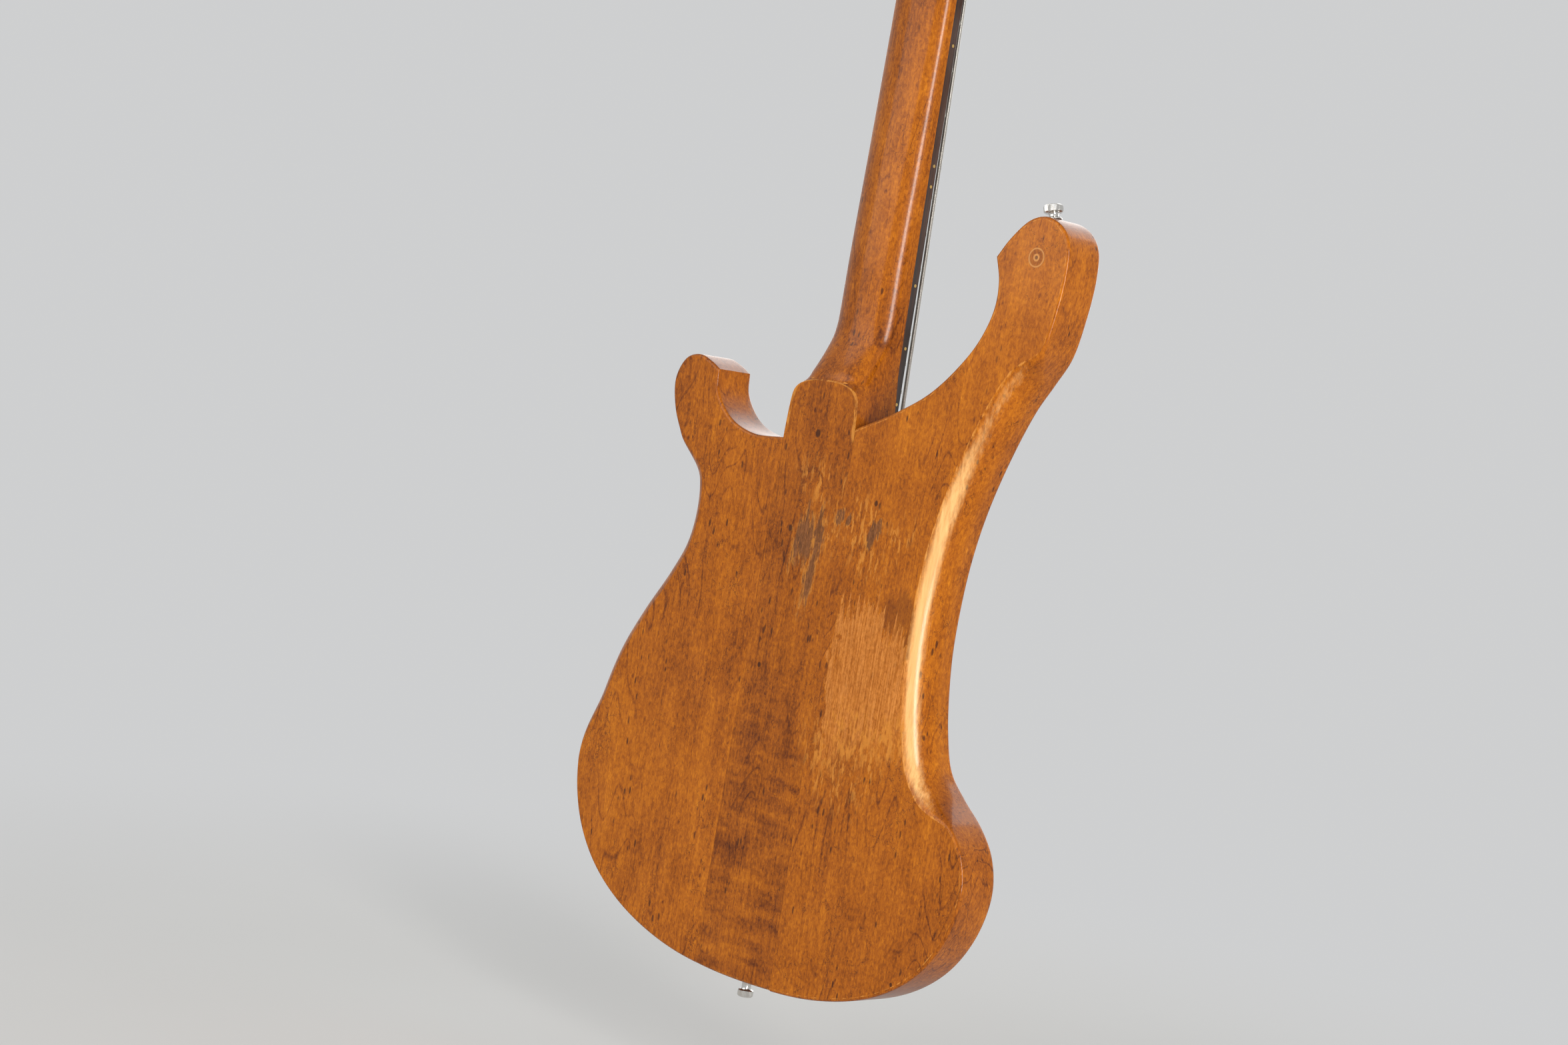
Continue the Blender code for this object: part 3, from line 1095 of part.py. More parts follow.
def make_controls(guard_plastic, knob_plastic, metal, wing):
    """Pickguard with the pots, switch and knobs it carries, over the hollow in the wing."""
    outline = smooth_curve(GUARD_OUTLINE, 0.0240, closed=True)
    back = -FIT
    front = back - GUARD_THICKNESS
    rings = [[(p.x, y, p.y) for p in outline] for y in (back, front)]
    guard = add_piece("pickguard", skin(bmesh.new(), rings), guard_plastic)
    holes = bmesh.new()
    bushing = POT_SHAFT_RADIUS + POT_BUSHING_WALL
    bore = POT_SHAFT_RADIUS + 1.4 * FIT
    nut = front - FIT
    low = nut - KNOB_GAP
    top = low - KNOB_HEIGHT
    shaft_end = POT_DEPTH - 0.0024
    for name, (x, height) in KNOB_PLACES.items():
        z = height - SCALE_LENGTH
        pot = turned(((0.0, shaft_end + FIT), (bore, shaft_end + FIT),
                      (bore, nut - POT_NUT_HEIGHT), (bushing, nut - POT_NUT_HEIGHT),
                      (bushing + POT_NUT_WALL, nut - 0.7 * POT_NUT_HEIGHT),
                      (bushing + POT_NUT_WALL, nut), (bushing, nut), (bushing, 0.0),
                      (POT_RADIUS, 0.0), (POT_RADIUS, POT_DEPTH), (0.0, POT_DEPTH)), 10)
        add_piece(name.replace("knob", "pot"), pot, metal, None, (x, 0.0, z), smooth=40.0)
        rod(bushing + 2.0 * FIT, front - CUT_PAST, back + CUT_PAST, 10, holes, (x, 0.0, z))
        recess = bushing + POT_NUT_WALL + 2.0 * KNOB_GAP
        knob = turned(((0.0, shaft_end), (POT_SHAFT_RADIUS, shaft_end),
                       (POT_SHAFT_RADIUS, low - POT_NUT_HEIGHT), (recess, low - POT_NUT_HEIGHT),
                       (recess, low), (KNOB_RADIUS, low), (KNOB_RADIUS - 0.0004, low - 0.0030),
                       (KNOB_RADIUS - 0.0024, low - 0.0048), (KNOB_RADIUS - 0.0030, top + 0.0012),
                       (KNOB_RADIUS - 0.0044, top), (0.0, top)), 16)
        add_piece(name, knob, knob_plastic, None, (x, 0.0, z), smooth=40.0)

    x, z = SWITCH_PLACE[0], SWITCH_PLACE[1] - SCALE_LENGTH
    collar = SWITCH_BORE + SWITCH_WALL
    foot = 1.5 * SWITCH_BORE
    case = turned(((0.0, foot), (SWITCH_BORE, foot), (SWITCH_BORE, nut - POT_NUT_HEIGHT),
                   (collar + POT_NUT_WALL, nut - POT_NUT_HEIGHT), (collar + POT_NUT_WALL, nut),
                   (collar, nut), (collar, 0.0), (SWITCH_CASE_RADIUS, 0.0),
                   (SWITCH_CASE_RADIUS, SWITCH_CASE_DEPTH), (0.0, SWITCH_CASE_DEPTH)), 12)
    add_piece("switch_body", case, metal, None, (x, 0.0, z), smooth=40.0)
    rod(collar + 1.5 * FIT, front - CUT_PAST, back + CUT_PAST, 12, holes, (x, 0.0, z))
    cut(guard, add_cutter("guard_holes", holes))
    ball = SWITCH_BORE - FIT
    end = ball - LEVER_LENGTH
    lever = turned(((0.0, ball), (0.7 * ball, 0.7 * ball), (ball, 0.0), (0.7 * ball, -0.7 * ball),
                    (LEVER_RADIUS, -0.9 * ball), (LEVER_RADIUS, end), (0.0, end)), 10)
    add_piece("switch_lever", lever, metal, None, (x, 0.0, z), smooth=50.0)
    socket = LEVER_RADIUS + FIT
    low = end + 0.6 * TIP_LENGTH
    tip = turned(((0.0, end - FIT), (socket, end - FIT), (socket, low),
                  (0.66 * TIP_RADIUS, low), (0.84 * TIP_RADIUS, low - 0.38 * TIP_LENGTH),
                  (TIP_RADIUS, low - 0.75 * TIP_LENGTH),
                  (0.68 * TIP_RADIUS, low - 0.95 * TIP_LENGTH), (0.0, low - TIP_LENGTH)), 12)
    add_piece("switch_tip", tip, knob_plastic, None, (x, 0.0, z), smooth=50.0)

    hollow = prism(CONTROL_OUTLINE, CUT_FRONT_Y, CONTROL_DEPTH)
    cut(wing, add_cutter("control_hollow", hollow))


def make_jack(metal, wing):
    """Output socket in the treble side, behind a round plate."""
    middle = BODY_THICKNESS / 2
    plate_x = JACK_FACE_X + FIT
    front_x = plate_x + JACK_PLATE_THICKNESS
    nut_x = front_x + FIT
    mouth_x = nut_x + JACK_NUT_HEIGHT
    barrel = JACK_BORE + JACK_WALL
    nut_radius = barrel + JACK_NUT_WALL
    inner = JACK_FACE_X - JACK_LENGTH
    socket = turned(((0.0, inner), (barrel, inner), (barrel, nut_x), (nut_radius, nut_x),
                     (nut_radius, mouth_x), (JACK_BORE, mouth_x),
                     (JACK_BORE, inner + 0.0020), (0.0, inner + 0.0020)), 14, None,
                    (0.0, middle, JACK_Z), "X")
    add_piece("jack_socket", socket, metal, smooth=40.0)
    plate = rod(JACK_PLATE_RADIUS, plate_x, front_x, 24, None, (0.0, middle, JACK_Z), "X")
    plate = add_piece("jack_plate", plate, metal, smooth=40.0)
    hole = rod(barrel + FIT, plate_x - CUT_PAST, front_x + CUT_PAST, 14, None,
               (0.0, middle, JACK_Z), "X")
    cut(plate, add_cutter("jack_plate_hole", hole))
    bore = rod(barrel + 4.0 * FIT, inner - 0.0040, JACK_FACE_X + JACK_SEAT_REACH, 14, None,
               (0.0, middle, JACK_Z), "X")
    cut(wing, add_cutter("jack_bore", bore))
    seat = rod(JACK_PLATE_RADIUS + 2.0 * FIT, JACK_FACE_X, JACK_FACE_X + JACK_SEAT_REACH, 24, None,
               (0.0, middle, JACK_Z), "X")
    cut(wing, add_cutter("jack_seat", seat))


# Strap buttons

def make_strap_buttons(metal, wing, blank):
    """A button on the horn and a smaller one on the tail, each with its wood screw."""
    middle = BODY_THICKNESS / 2
    horn = (HORN_BUTTON[0], middle, HORN_BUTTON[1] - SCALE_LENGTH)
    places = (("strap_button_horn", horn, HORN_BUTTON_LEAN,
               HORN_BUTTON_RADIUS, HORN_BUTTON_LENGTH, wing),
              ("strap_button_tail", (0.0, middle, TAIL_Z), math.pi, TAIL_BUTTON_RADIUS,
               TAIL_BUTTON_LENGTH, blank))
    for name, place, lean, radius, length, wood in places:
        base = FIT
        head = length - BUTTON_HEAD
        profile = ((0.0, -BUTTON_SCREW_LENGTH - 0.0030), (BUTTON_SCREW, -BUTTON_SCREW_LENGTH),
                   (BUTTON_SCREW, base), (radius - 0.0010, base),
                   (radius - 0.0018, base + 0.0008), (BUTTON_STEM, base + 0.0016),
                   (BUTTON_STEM, head), (radius - 0.0004, head), (radius, head + 0.0006),
                   (radius, length - 0.0006), (radius - 0.0006, length),
                   (0.0, length))
        shape = turned(profile, 16, None, (0.0, 0.0, 0.0), "Z")
        button = add_piece(name, shape, metal, None, place, smooth=35.0)
        button.rotation_euler = (0.0, lean, 0.0)
        hole = rod(BUTTON_SCREW + FIT, -BUTTON_SCREW_LENGTH - 0.0040, 0.0060, 10, None,
                   (0.0, 0.0, 0.0), "Z")
        tool = add_cutter(name + "_hole", hole, None, place)
        tool.rotation_euler = (0.0, lean, 0.0)
        cut(wood, tool)


def build():
    clear_scene()
    maple = finish("maple", (0.55, 0.25, 0.05), 0.35)
    rosewood = finish("rosewood", (0.09, 0.04, 0.02), 0.5)
    chrome = finish("chrome", (0.75, 0.74, 0.72), 0.25, 1.0)
    nickel = finish("nickel", (0.62, 0.58, 0.50), 0.35, 1.0)
    brass = finish("brass", (0.62, 0.45, 0.18), 0.35, 1.0)
    steel = finish("steel", (0.50, 0.50, 0.50), 0.4, 1.0)
    white = finish("white_plastic", (0.78, 0.76, 0.68), 0.35)
    black = finish("black_plastic", (0.02, 0.02, 0.02), 0.35)
    bone = finish("bone", (0.80, 0.75, 0.62), 0.45)
    wound = finish("string_steel", (0.60, 0.59, 0.56), 0.35, 1.0)

    head = bpy.data.objects.new("head_frame", None)
    head.matrix_world = HEAD_FRAME
    bpy.context.collection.objects.link(head)

    blank = make_neck_blank(maple)
    bass_wing = make_wing("body_wing_bass", -1.0, maple)
    treble_wing = make_wing("body_wing_treble", 1.0, maple)
    ears = [make_head_wing("head_wing_bass", -1.0, maple, head),
            make_head_wing("head_wing_treble", 1.0, maple, head)]
    post_holes = bmesh.new()
    for x, z in POST_PLACES.values():
        rod(POST_RADIUS + BUSHING_WALL + 3.0 * FIT, CUT_FRONT_Y, HEAD_THICKNESS - CUT_FRONT_Y, 12,
            post_holes, (x, 0.0, z))
    post_tool = add_cutter("post_holes", post_holes, head)
    for ear in ears:
        cut(ear, post_tool)

    make_fingerboard(rosewood)
    make_nut(bone)
    make_truss_rods(steel, white, head)
    for number, name in enumerate(STRINGS):
        slot_angle = make_string(name, number, wound)
        make_plate(name, nickel, head)
        make_bushing(name, nickel, head)
        make_post(name, slot_angle, nickel, head)
        make_wheel(name, brass, head)
        make_key(name, nickel, head)
        make_saddle(name, number, chrome)
    make_tailpiece(chrome)
    make_bridge_frame(chrome)
    make_pickups(chrome, black, (blank, bass_wing, treble_wing))
    make_controls(white, black, nickel, treble_wing)
    make_jack(chrome, treble_wing)
    make_strap_buttons(chrome, bass_wing, blank)


build()
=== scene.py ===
"""The dressed model of a four-string electric bass guitar whose neck runs through the body.

The script follows the instrument as it is built: the neck blank, the wings glued to it, the
fingerboard, the hardware, and last the room that it hangs in. Lengths are in metres.
"""
import math

import bpy
import numpy as np
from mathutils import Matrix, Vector


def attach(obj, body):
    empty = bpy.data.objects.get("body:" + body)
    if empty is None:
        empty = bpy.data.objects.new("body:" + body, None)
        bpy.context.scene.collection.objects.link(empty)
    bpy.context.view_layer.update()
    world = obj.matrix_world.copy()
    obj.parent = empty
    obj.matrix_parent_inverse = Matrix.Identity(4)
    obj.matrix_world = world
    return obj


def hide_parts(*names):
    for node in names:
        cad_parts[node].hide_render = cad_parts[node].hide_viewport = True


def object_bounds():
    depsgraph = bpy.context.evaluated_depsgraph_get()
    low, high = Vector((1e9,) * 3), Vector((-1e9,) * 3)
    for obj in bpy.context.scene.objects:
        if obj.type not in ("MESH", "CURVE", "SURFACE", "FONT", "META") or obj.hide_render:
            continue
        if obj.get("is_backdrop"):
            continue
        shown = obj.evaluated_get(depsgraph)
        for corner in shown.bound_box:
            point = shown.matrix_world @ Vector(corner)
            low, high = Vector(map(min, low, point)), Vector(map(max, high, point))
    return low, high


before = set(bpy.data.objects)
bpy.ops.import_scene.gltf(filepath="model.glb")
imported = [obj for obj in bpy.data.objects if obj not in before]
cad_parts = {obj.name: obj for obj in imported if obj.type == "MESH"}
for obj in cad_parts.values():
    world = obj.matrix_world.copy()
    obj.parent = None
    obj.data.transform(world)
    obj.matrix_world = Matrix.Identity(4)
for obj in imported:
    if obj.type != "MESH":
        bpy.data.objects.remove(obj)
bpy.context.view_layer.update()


# The neck blank: one length of maple that is neck, heel, the middle of the body and the core
# of the head. It is sawn and carved, then sprayed with amber lacquer together with the wings,
# and years of play have checked the lacquer and worn it through on the back.
SCALE = 0.84455
FRONT = -0.0040
THICKNESS = 0.03175
FRONT_ROUND = 0.0030
BACK_ROUND = 0.0018
TAIL = -0.9282
SEAM_TOP = -0.6000
SEAM_HALF_TOP = 0.02994
SEAM_HALF_TAIL = 0.03373
BOARD_END = -SCALE * (1.0 - 2.0 ** (-20.0 / 12.0)) - 0.0072
NUT_WIDTH, END_WIDTH = 0.0429, 0.0518
HEAD_TILT = math.radians(8.0)
HEAD_ORIGIN = np.array([0.0, FRONT, 0.0060])
HEAD_SEAM = 0.0215
HEAD_THICKNESS = 0.0150
HEAD_EDGE = 0.0020
HEAD_TIP = 0.1890
NECK_SHAPE = np.array([
    (0.0015, 0.0131, 2.1), (-0.1500, 0.0131, 2.05), (-0.3000, 0.0136, 2.05),
    (-0.3850, 0.0163, 2.05), (-0.4660, 0.0192, 2.1), (-0.5080, 0.0200, 2.1),
    (-0.5170, 0.0212, 2.3), (-0.5250, 0.0245, 2.6), (-0.5340, 0.0290, 3.0),
    (-0.5410, 0.0330, 3.3), (-0.5470, 0.0360, 3.8), (-0.5520, 0.0420, 5.2),
    (-0.5570, 0.0480, 7.5), (-0.5700, 0.0600, 11.0), (-0.5850, 0.0600, 16.0)])
HEEL_WIDTHS = np.array([
    (-0.5080, 0.0253), (-0.5400, 0.0264), (-0.5570, 0.0281), (-0.5800, 0.0295),
    (-0.6000, 0.02994)])


def eased(value):
    """3t^2 - 2t^3 with t held between 0 and 1: a step with level ends."""
    value = np.clip(value, 0.0, 1.0)
    return value * value * (3.0 - 2.0 * value)


def along_table(table, z, column):
    """Cubic Hermite reading of a table's column at height z, with slopes that never overshoot."""
    heights, values = table[::-1, 0], table[::-1, column]
    slopes = np.gradient(values, heights)
    k = np.clip(np.searchsorted(heights, z) - 1, 0, len(heights) - 2)
    span = heights[k + 1] - heights[k]
    t = np.clip((z - heights[k]) / span, 0.0, 1.0)
    rise = values[k + 1] - values[k]
    ends = []
    for slope in (slopes[k] * span, slopes[k + 1] * span):
        held = np.sign(rise) * np.minimum(np.abs(slope), 3.0 * np.abs(rise))
        ends.append(np.where(slope * rise > 0.0, held, 0.0))
    return (values[k] * (2 * t ** 3 - 3 * t ** 2 + 1) + ends[0] * (t ** 3 - 2 * t ** 2 + t)
            + values[k + 1] * (3 * t ** 2 - 2 * t ** 3) + ends[1] * (t ** 3 - t ** 2))


def board_half(z):
    """Half the fingerboard's width: a straight taper from the nut to the board's end."""
    return 0.5 * (NUT_WIDTH + (END_WIDTH - NUT_WIDTH) * z / BOARD_END)


def seam_half(z):
    """Half the width of the middle strip: a straight taper that widens to the tail."""
    return SEAM_HALF_TOP + (SEAM_HALF_TAIL - SEAM_HALF_TOP) * (SEAM_TOP - z) / (SEAM_TOP - TAIL)


def head_to_world(points):
    """Turn (x, y, z) of the tilted head about X by its tilt, and move it to the nut."""
    c, s = math.cos(HEAD_TILT), math.sin(HEAD_TILT)
    x, y, z = points[..., 0], points[..., 1], points[..., 2]
    return np.stack([x, c * y + s * z, -s * y + c * z], axis=-1) + HEAD_ORIGIN


def grid(x, y, z):
    """Points from three arrays, each of which may be the same along any of the grid's ways."""
    return np.stack(np.broadcast_arrays(x, y, z), -1)


def skin(rows):
    """A shape (points, faces) from rows of points that are rings: quads and a cap on each end."""
    index = np.arange(rows[..., 0].size).reshape(rows.shape[:-1])
    ahead = np.roll(index, -1, axis=1)
    quads = np.stack([index[:-1], ahead[:-1], ahead[1:], index[1:]], axis=-1)
    return rows, [*quads.reshape(-1, 4).tolist(), index[0, ::-1].tolist(), index[-1].tolist()]


def circle(steps):
    """Angles evenly spaced once round."""
    return np.linspace(0.0, 2.0 * math.pi, steps, endpoint=False)


def rounding(radius, steps, backwards=False):
    """A quarter circle's inset and fall, r (1 - cos a) and r (1 - sin a), from face to side."""
    turn = np.linspace(*((0.0, 0.5 * math.pi) if backwards else (0.5 * math.pi, 0.0)), steps)
    return radius * (1.0 - np.cos(turn)), radius * (1.0 - np.sin(turn))


def outward(points, faces):
    """Faces turned to point outwards: the sum of each face's determinants has to be positive."""
    corners = [points[np.array(face)] for face in faces if len(face) > 4]
    quads = np.array([face if len(face) == 4 else [*face, face[2]] for face in faces
                      if len(face) <= 4])
    volume = 0.0
    if len(quads):
        a, b, c, d = (points[quads[:, k]] for k in range(4))
        volume = np.sum(a * np.cross(b, c)) + np.sum(a * np.cross(c, d))
    for ring in corners:
        volume += np.sum(ring[0] * np.cross(ring[1:-1], ring[2:]))
    return faces if volume > 0.0 else [face[::-1] for face in faces]


def solid_piece(name, shape, finish, crease=32.0, body="guitar", node=True, marks=None):
    """A mesh object from a shape, its place in its mesh and its faces outwards, on a body.

    It stands for the CAD node of its own name, for another that is named, or for none.
    """
    points = np.asarray(shape[0], float).reshape(-1, 3)
    faces = outward(points, shape[1])
    mesh = bpy.data.meshes.new(name)
    mesh.from_pydata(points.tolist(), [], faces)
    mesh.polygons.foreach_set("use_smooth", [len(face) <= 4 for face in faces])
    mesh.set_sharp_from_angle(angle=math.radians(crease))
    for mark, values in (marks or {}).items():
        layer = mesh.attributes.new(mark, "FLOAT", "POINT")
        layer.data.foreach_set("value", np.asarray(values, np.float32).ravel())
    mesh.materials.append(finish.material)
    made = bpy.data.objects.new(name + "_piece" if node else name, mesh)
    bpy.context.scene.collection.objects.link(made)
    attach(made, body)
    if node:
        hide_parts(name if node is True else node)
    return made


class Amount:
    """A number that changes over a surface. Sums and products of amounts add Math nodes."""

    def __init__(self, finish, socket):
        self.finish, self.socket = finish, socket

    def _sum(self, operation, first, second):
        return self.finish.node("ShaderNodeMath", {"operation": operation}, {0: first, 1: second})

    def __add__(self, other):
        return self._sum("ADD", self, other)

    def __radd__(self, other):
        return self._sum("ADD", other, self)

    def __sub__(self, other):
        return self._sum("SUBTRACT", self, other)

    def __rsub__(self, other):
        return self._sum("SUBTRACT", other, self)

    def __mul__(self, other):
        return self._sum("MULTIPLY", self, other)

    def __rmul__(self, other):
        return self._sum("MULTIPLY", other, self)

    def __truediv__(self, other):
        return self._sum("DIVIDE", self, other)

    def __pow__(self, other):
        return self._sum("POWER", self, other)

    def __abs__(self):
        return self._sum("ABSOLUTE", self, 0.0)

    def least(self, other):
        return self._sum("MINIMUM", self, other)

    def most(self, other):
        return self._sum("MAXIMUM", self, other)

    def step(self, low, high):
        """0 below low and 1 above high, eased between; low may be the greater of the two."""
        if low > high:
            return 1.0 - self.step(high, low)
        return self.finish.node("ShaderNodeMapRange", {"interpolation_type": "SMOOTHSTEP"},
                                {"Value": self, "From Min": low, "From Max": high})


class Finish:
    """A Principled material, built node by node."""

    shift = (0.0, 0.0, 0.0)

    def __init__(self, name, roughness=0.5, metallic=0.0, coat=0.0, coat_roughness=0.05,
                 specular=0.5):
        self.material = bpy.data.materials.new(name)
        self.material.use_nodes = True
        self.tree = self.material.node_tree
        self.shader = self.tree.nodes["Principled BSDF"]
        for socket, value in (("Roughness", roughness), ("Metallic", metallic),
                              ("Coat Weight", coat), ("Coat Roughness", coat_roughness),
                              ("Specular IOR Level", specular)):
            self.shader.inputs[socket].default_value = value

    def node(self, kind, settings=None, sockets=None, output=0):
        """Any node: its settings first, then its sockets' values or links."""
        made = self.tree.nodes.new(kind)
        for key, value in (settings or {}).items():
            if key == "stops":
                while len(made.color_ramp.elements) < len(value):
                    made.color_ramp.elements.new(0.5)
                for element, (place, colour) in zip(made.color_ramp.elements, value):
                    element.position = place
                    element.color = (*colour, 1.0)
            else:
                setattr(made, key, value)
        for key, value in (sockets or {}).items():
            if isinstance(value, Amount):
                self.tree.links.new(value.socket, made.inputs[key])
            else:
                made.inputs[key].default_value = value
        return Amount(self, made.outputs[output])

    def place(self, scale, turn=(0.0, 0.0, 0.0)):
        """Object coordinates in metres, stretched, turned and shifted."""
        here = self.node("ShaderNodeTexCoord", output="Object")
        return self.node("ShaderNodeMapping", None, {"Vector": here, "Scale": scale,
                                                     "Location": self.shift, "Rotation": turn})

    def noise(self, scale, detail=2.0, roughness=0.5, distortion=0.0, turn=(0.0, 0.0, 0.0),
              output=0):
        """Noise with so many waves to the metre along x, y and z."""
        return self.node("ShaderNodeTexNoise", None,
                         {"Vector": self.place(scale, turn), "Scale": 1.0, "Detail": detail,
                          "Roughness": roughness, "Distortion": distortion}, output)

    def cells(self, scale):
        """The distance from the nearest of as many points to the metre."""
        return self.node("ShaderNodeTexVoronoi", None,
                         {"Vector": self.place(scale), "Scale": 1.0}, "Distance")

    def axis(self, vector, name):
        return self.node("ShaderNodeSeparateXYZ", None, {"Vector": vector}, name)

    def mark(self, name):
        """A number stored on the mesh's points."""
        return self.node("ShaderNodeAttribute", {"attribute_name": name}, None, "Fac")

    def ramp(self, amount, stops):
        return self.node("ShaderNodeValToRGB", {"stops": stops}, {"Fac": amount})

    def blend(self, share, first, second, how="MIX"):
        """Two colours mixed by a share; a plain colour is three numbers."""
        first, second = ((*c, 1.0) if isinstance(c, tuple) else c for c in (first, second))
        return self.node("ShaderNodeMix", {"data_type": "RGBA", "blend_type": how},
                         {0: share, 6: first, 7: second}, 2)

    def give(self, socket, amount):
        self.tree.links.new(amount.socket, self.shader.inputs[socket])

    def relief(self, amount, height, strength=1.0):
        """Bump of the given height in metres."""
        bump = self.node("ShaderNodeBump", None, {"Strength": strength, "Distance": height,
                                                  "Height": amount})
        self.give("Normal", bump)


def patch(x, z, ragged, centre, size, lean, soft, rough):
    """A worn place on the back: 1 within an ellipse whose rim a noise makes ragged."""
    c, s = math.cos(lean), math.sin(lean)
    dx, dz = x - centre[0], z - centre[1]
    across = (dx * c + dz * s) / size[0]
    upright = (dz * c - dx * s) / size[1]
    far = (across * across + upright * upright) ** 0.5 + (ragged - 0.5) * (2.0 * rough)
    return far.step(1.0 + soft, 1.0 - soft)


def aged_maple(name, board=(0.0, 0.0, 0.0), tone=1.0, strip=False):
    """Amber lacquer on maple: fibres, pebbled figure, growth lines, hair cracks, pits, wear,
    painted highlights.

    The wood's own value is a sum of noises stretched along the grain; a ramp makes it a colour.
    The worn places lie on the flat of the back, each found by its x and z.
    """
    wood = Finish(name, 0.42, 0.0, 0.4, 0.15, 0.10)
    wood.shift = board
    here = wood.node("ShaderNodeTexCoord", output="Object")
    x, y, z = (wood.axis(here, letter) for letter in "XYZ")

    # what the grain is made of: fibres, pebbles, streaks, growth lines, pits and small eyes
    fibre = wood.noise((1500.0, 1500.0, 38.0), 3.0, 0.6)
    pebble = wood.noise((560.0, 560.0, 330.0), 4.0, 0.70, 0.6)
    strand = wood.noise((420.0, 420.0, 9.0), 3.0, 0.6)
    streak = wood.noise((85.0, 85.0, 2.4), 3.0, 0.55)
    broad = wood.noise((13.0, 13.0, 5.0), 3.0, 0.6)
    cloud = wood.noise((52.0, 52.0, 30.0), 4.0, 0.66)
    sway = wood.noise((15.0, 15.0, 3.2), 2.0, 0.5)
    line = wood.node("ShaderNodeMath", {"operation": "PINGPONG"}, {0: sway * 30.0, 1: 0.5})
    growth = line.step(0.090, 0.0) * wood.noise((24.0, 24.0, 11.0), 3.0).step(0.42, 0.64)
    figure = wood.noise((16.0, 16.0, 105.0), 3.0, 0.5, turn=(0.0, 0.35, 0.0))
    dash = wood.cells((250.0, 250.0, 85.0))
    rare = wood.noise((75.0, 75.0, 24.0), 3.0, 0.6)
    pit = dash.step(0.27, 0.15) * rare.step(0.555, 0.61)
    eye = wood.cells((95.0, 95.0, 62.0)).step(0.15, 0.05)
    eye = eye * wood.noise((19.0, 19.0, 13.0), 1.0).step(0.54, 0.62)

    value = 0.5 + (fibre - 0.5) * 0.44 + (pebble - 0.5) * 1.05 + (strand - 0.5) * 0.26
    value = value + (streak - 0.5) * 0.30 + (broad - 0.5) * 0.50 + (cloud - 0.5) * 0.44
    value = value + (figure - 0.5) * 0.10 - growth * 0.21 - eye * 0.22
    if strip:
        low = (z + (cloud - 0.5) * 0.07 - abs(x + 0.012) * 0.6).step(-0.742, -0.782)
        bars = wood.noise((24.0, 24.0, 125.0), 3.0, 0.55, turn=(0.0, 0.35, 0.0))
        value = value - low * (0.100 - (bars - 0.5) * 0.75)
        smudge = patch(x, z, cloud, (0.004, -0.745), (0.022, 0.012), 0.5, 0.5, 0.9)
        value = value - smudge * 0.10
    colour = wood.ramp(value, [(0.0, (0.055 * tone, 0.0098 * tone, 0.0003)),
                               (0.26, (0.185 * tone, 0.0420 * tone, 0.0005)),
                               (0.50, (0.360 * tone, 0.0930 * tone, 0.0010)),
                               (0.74, (0.520 * tone, 0.155 * tone, 0.0024)),
                               (1.0, (0.690 * tone, 0.255 * tone, 0.010))])

    # end grain drinks the stain, so it is darker and full of pores
    turned = abs(wood.axis(wood.node("ShaderNodeNewGeometry", output="Normal"), "Z"))
    grain_end = turned.step(0.50, 0.90)
    pore = wood.cells((520.0, 200.0, 520.0)).step(0.34, 0.14)
    bands = wood.noise((150.0, 700.0, 150.0), 3.0, turn=(0.0, 0.0, 0.5)).step(0.4, 0.6)
    colour = wood.blend(grain_end * 0.55, colour, (0.150 * tone, 0.030 * tone, 0.0010))
    colour = wood.blend(grain_end * pore * bands * 0.85, colour, (0.030, 0.006, 0.0004))

    # hair cracks and pits in the lacquer
    bent = wood.node("ShaderNodeVectorMath", {"operation": "ADD"},
                     {0: wood.place((58.0, 58.0, 36.0)),
                      1: wood.noise((150.0, 150.0, 110.0), 3.0, 0.6, output="Color")})
    crack = wood.node("ShaderNodeTexVoronoi", {"feature": "DISTANCE_TO_EDGE"},
                      {"Vector": bent, "Scale": 1.0}, "Distance").step(0.017, 0.0)
    crack = crack * wood.noise((30.0, 30.0, 21.0), 2.0).step(0.50, 0.57)
    colour = wood.blend(crack * 0.70, colour, (0.075, 0.014, 0.0008))
    colour = wood.blend(pit * 0.80, colour, (0.050, 0.010, 0.0006))

    # rubbed edges, and the pale crest where the back is relieved, partly worn and partly a painted
    # highlight
    nibble = wood.noise((300.0, 300.0, 110.0), 4.0, 0.7)
    rubbed = (wood.mark("edge") + (nibble - 0.5) * 1.7).step(0.66, 1.02)
    colour = wood.blend(rubbed * 0.72, colour, (0.66, 0.270, 0.045))
    comb = wood.noise((520.0, 520.0, 30.0), 3.0, 0.6)
    crest = (wood.mark("crest") + (nibble - 0.5) * 0.45 + (comb - 0.5) * 0.45).step(0.22, 1.0)
    colour = wood.blend(crest * (0.80 + (comb - 0.5) * 0.9), colour, (0.88, 0.50, 0.190))
    bare = rubbed * 0.5

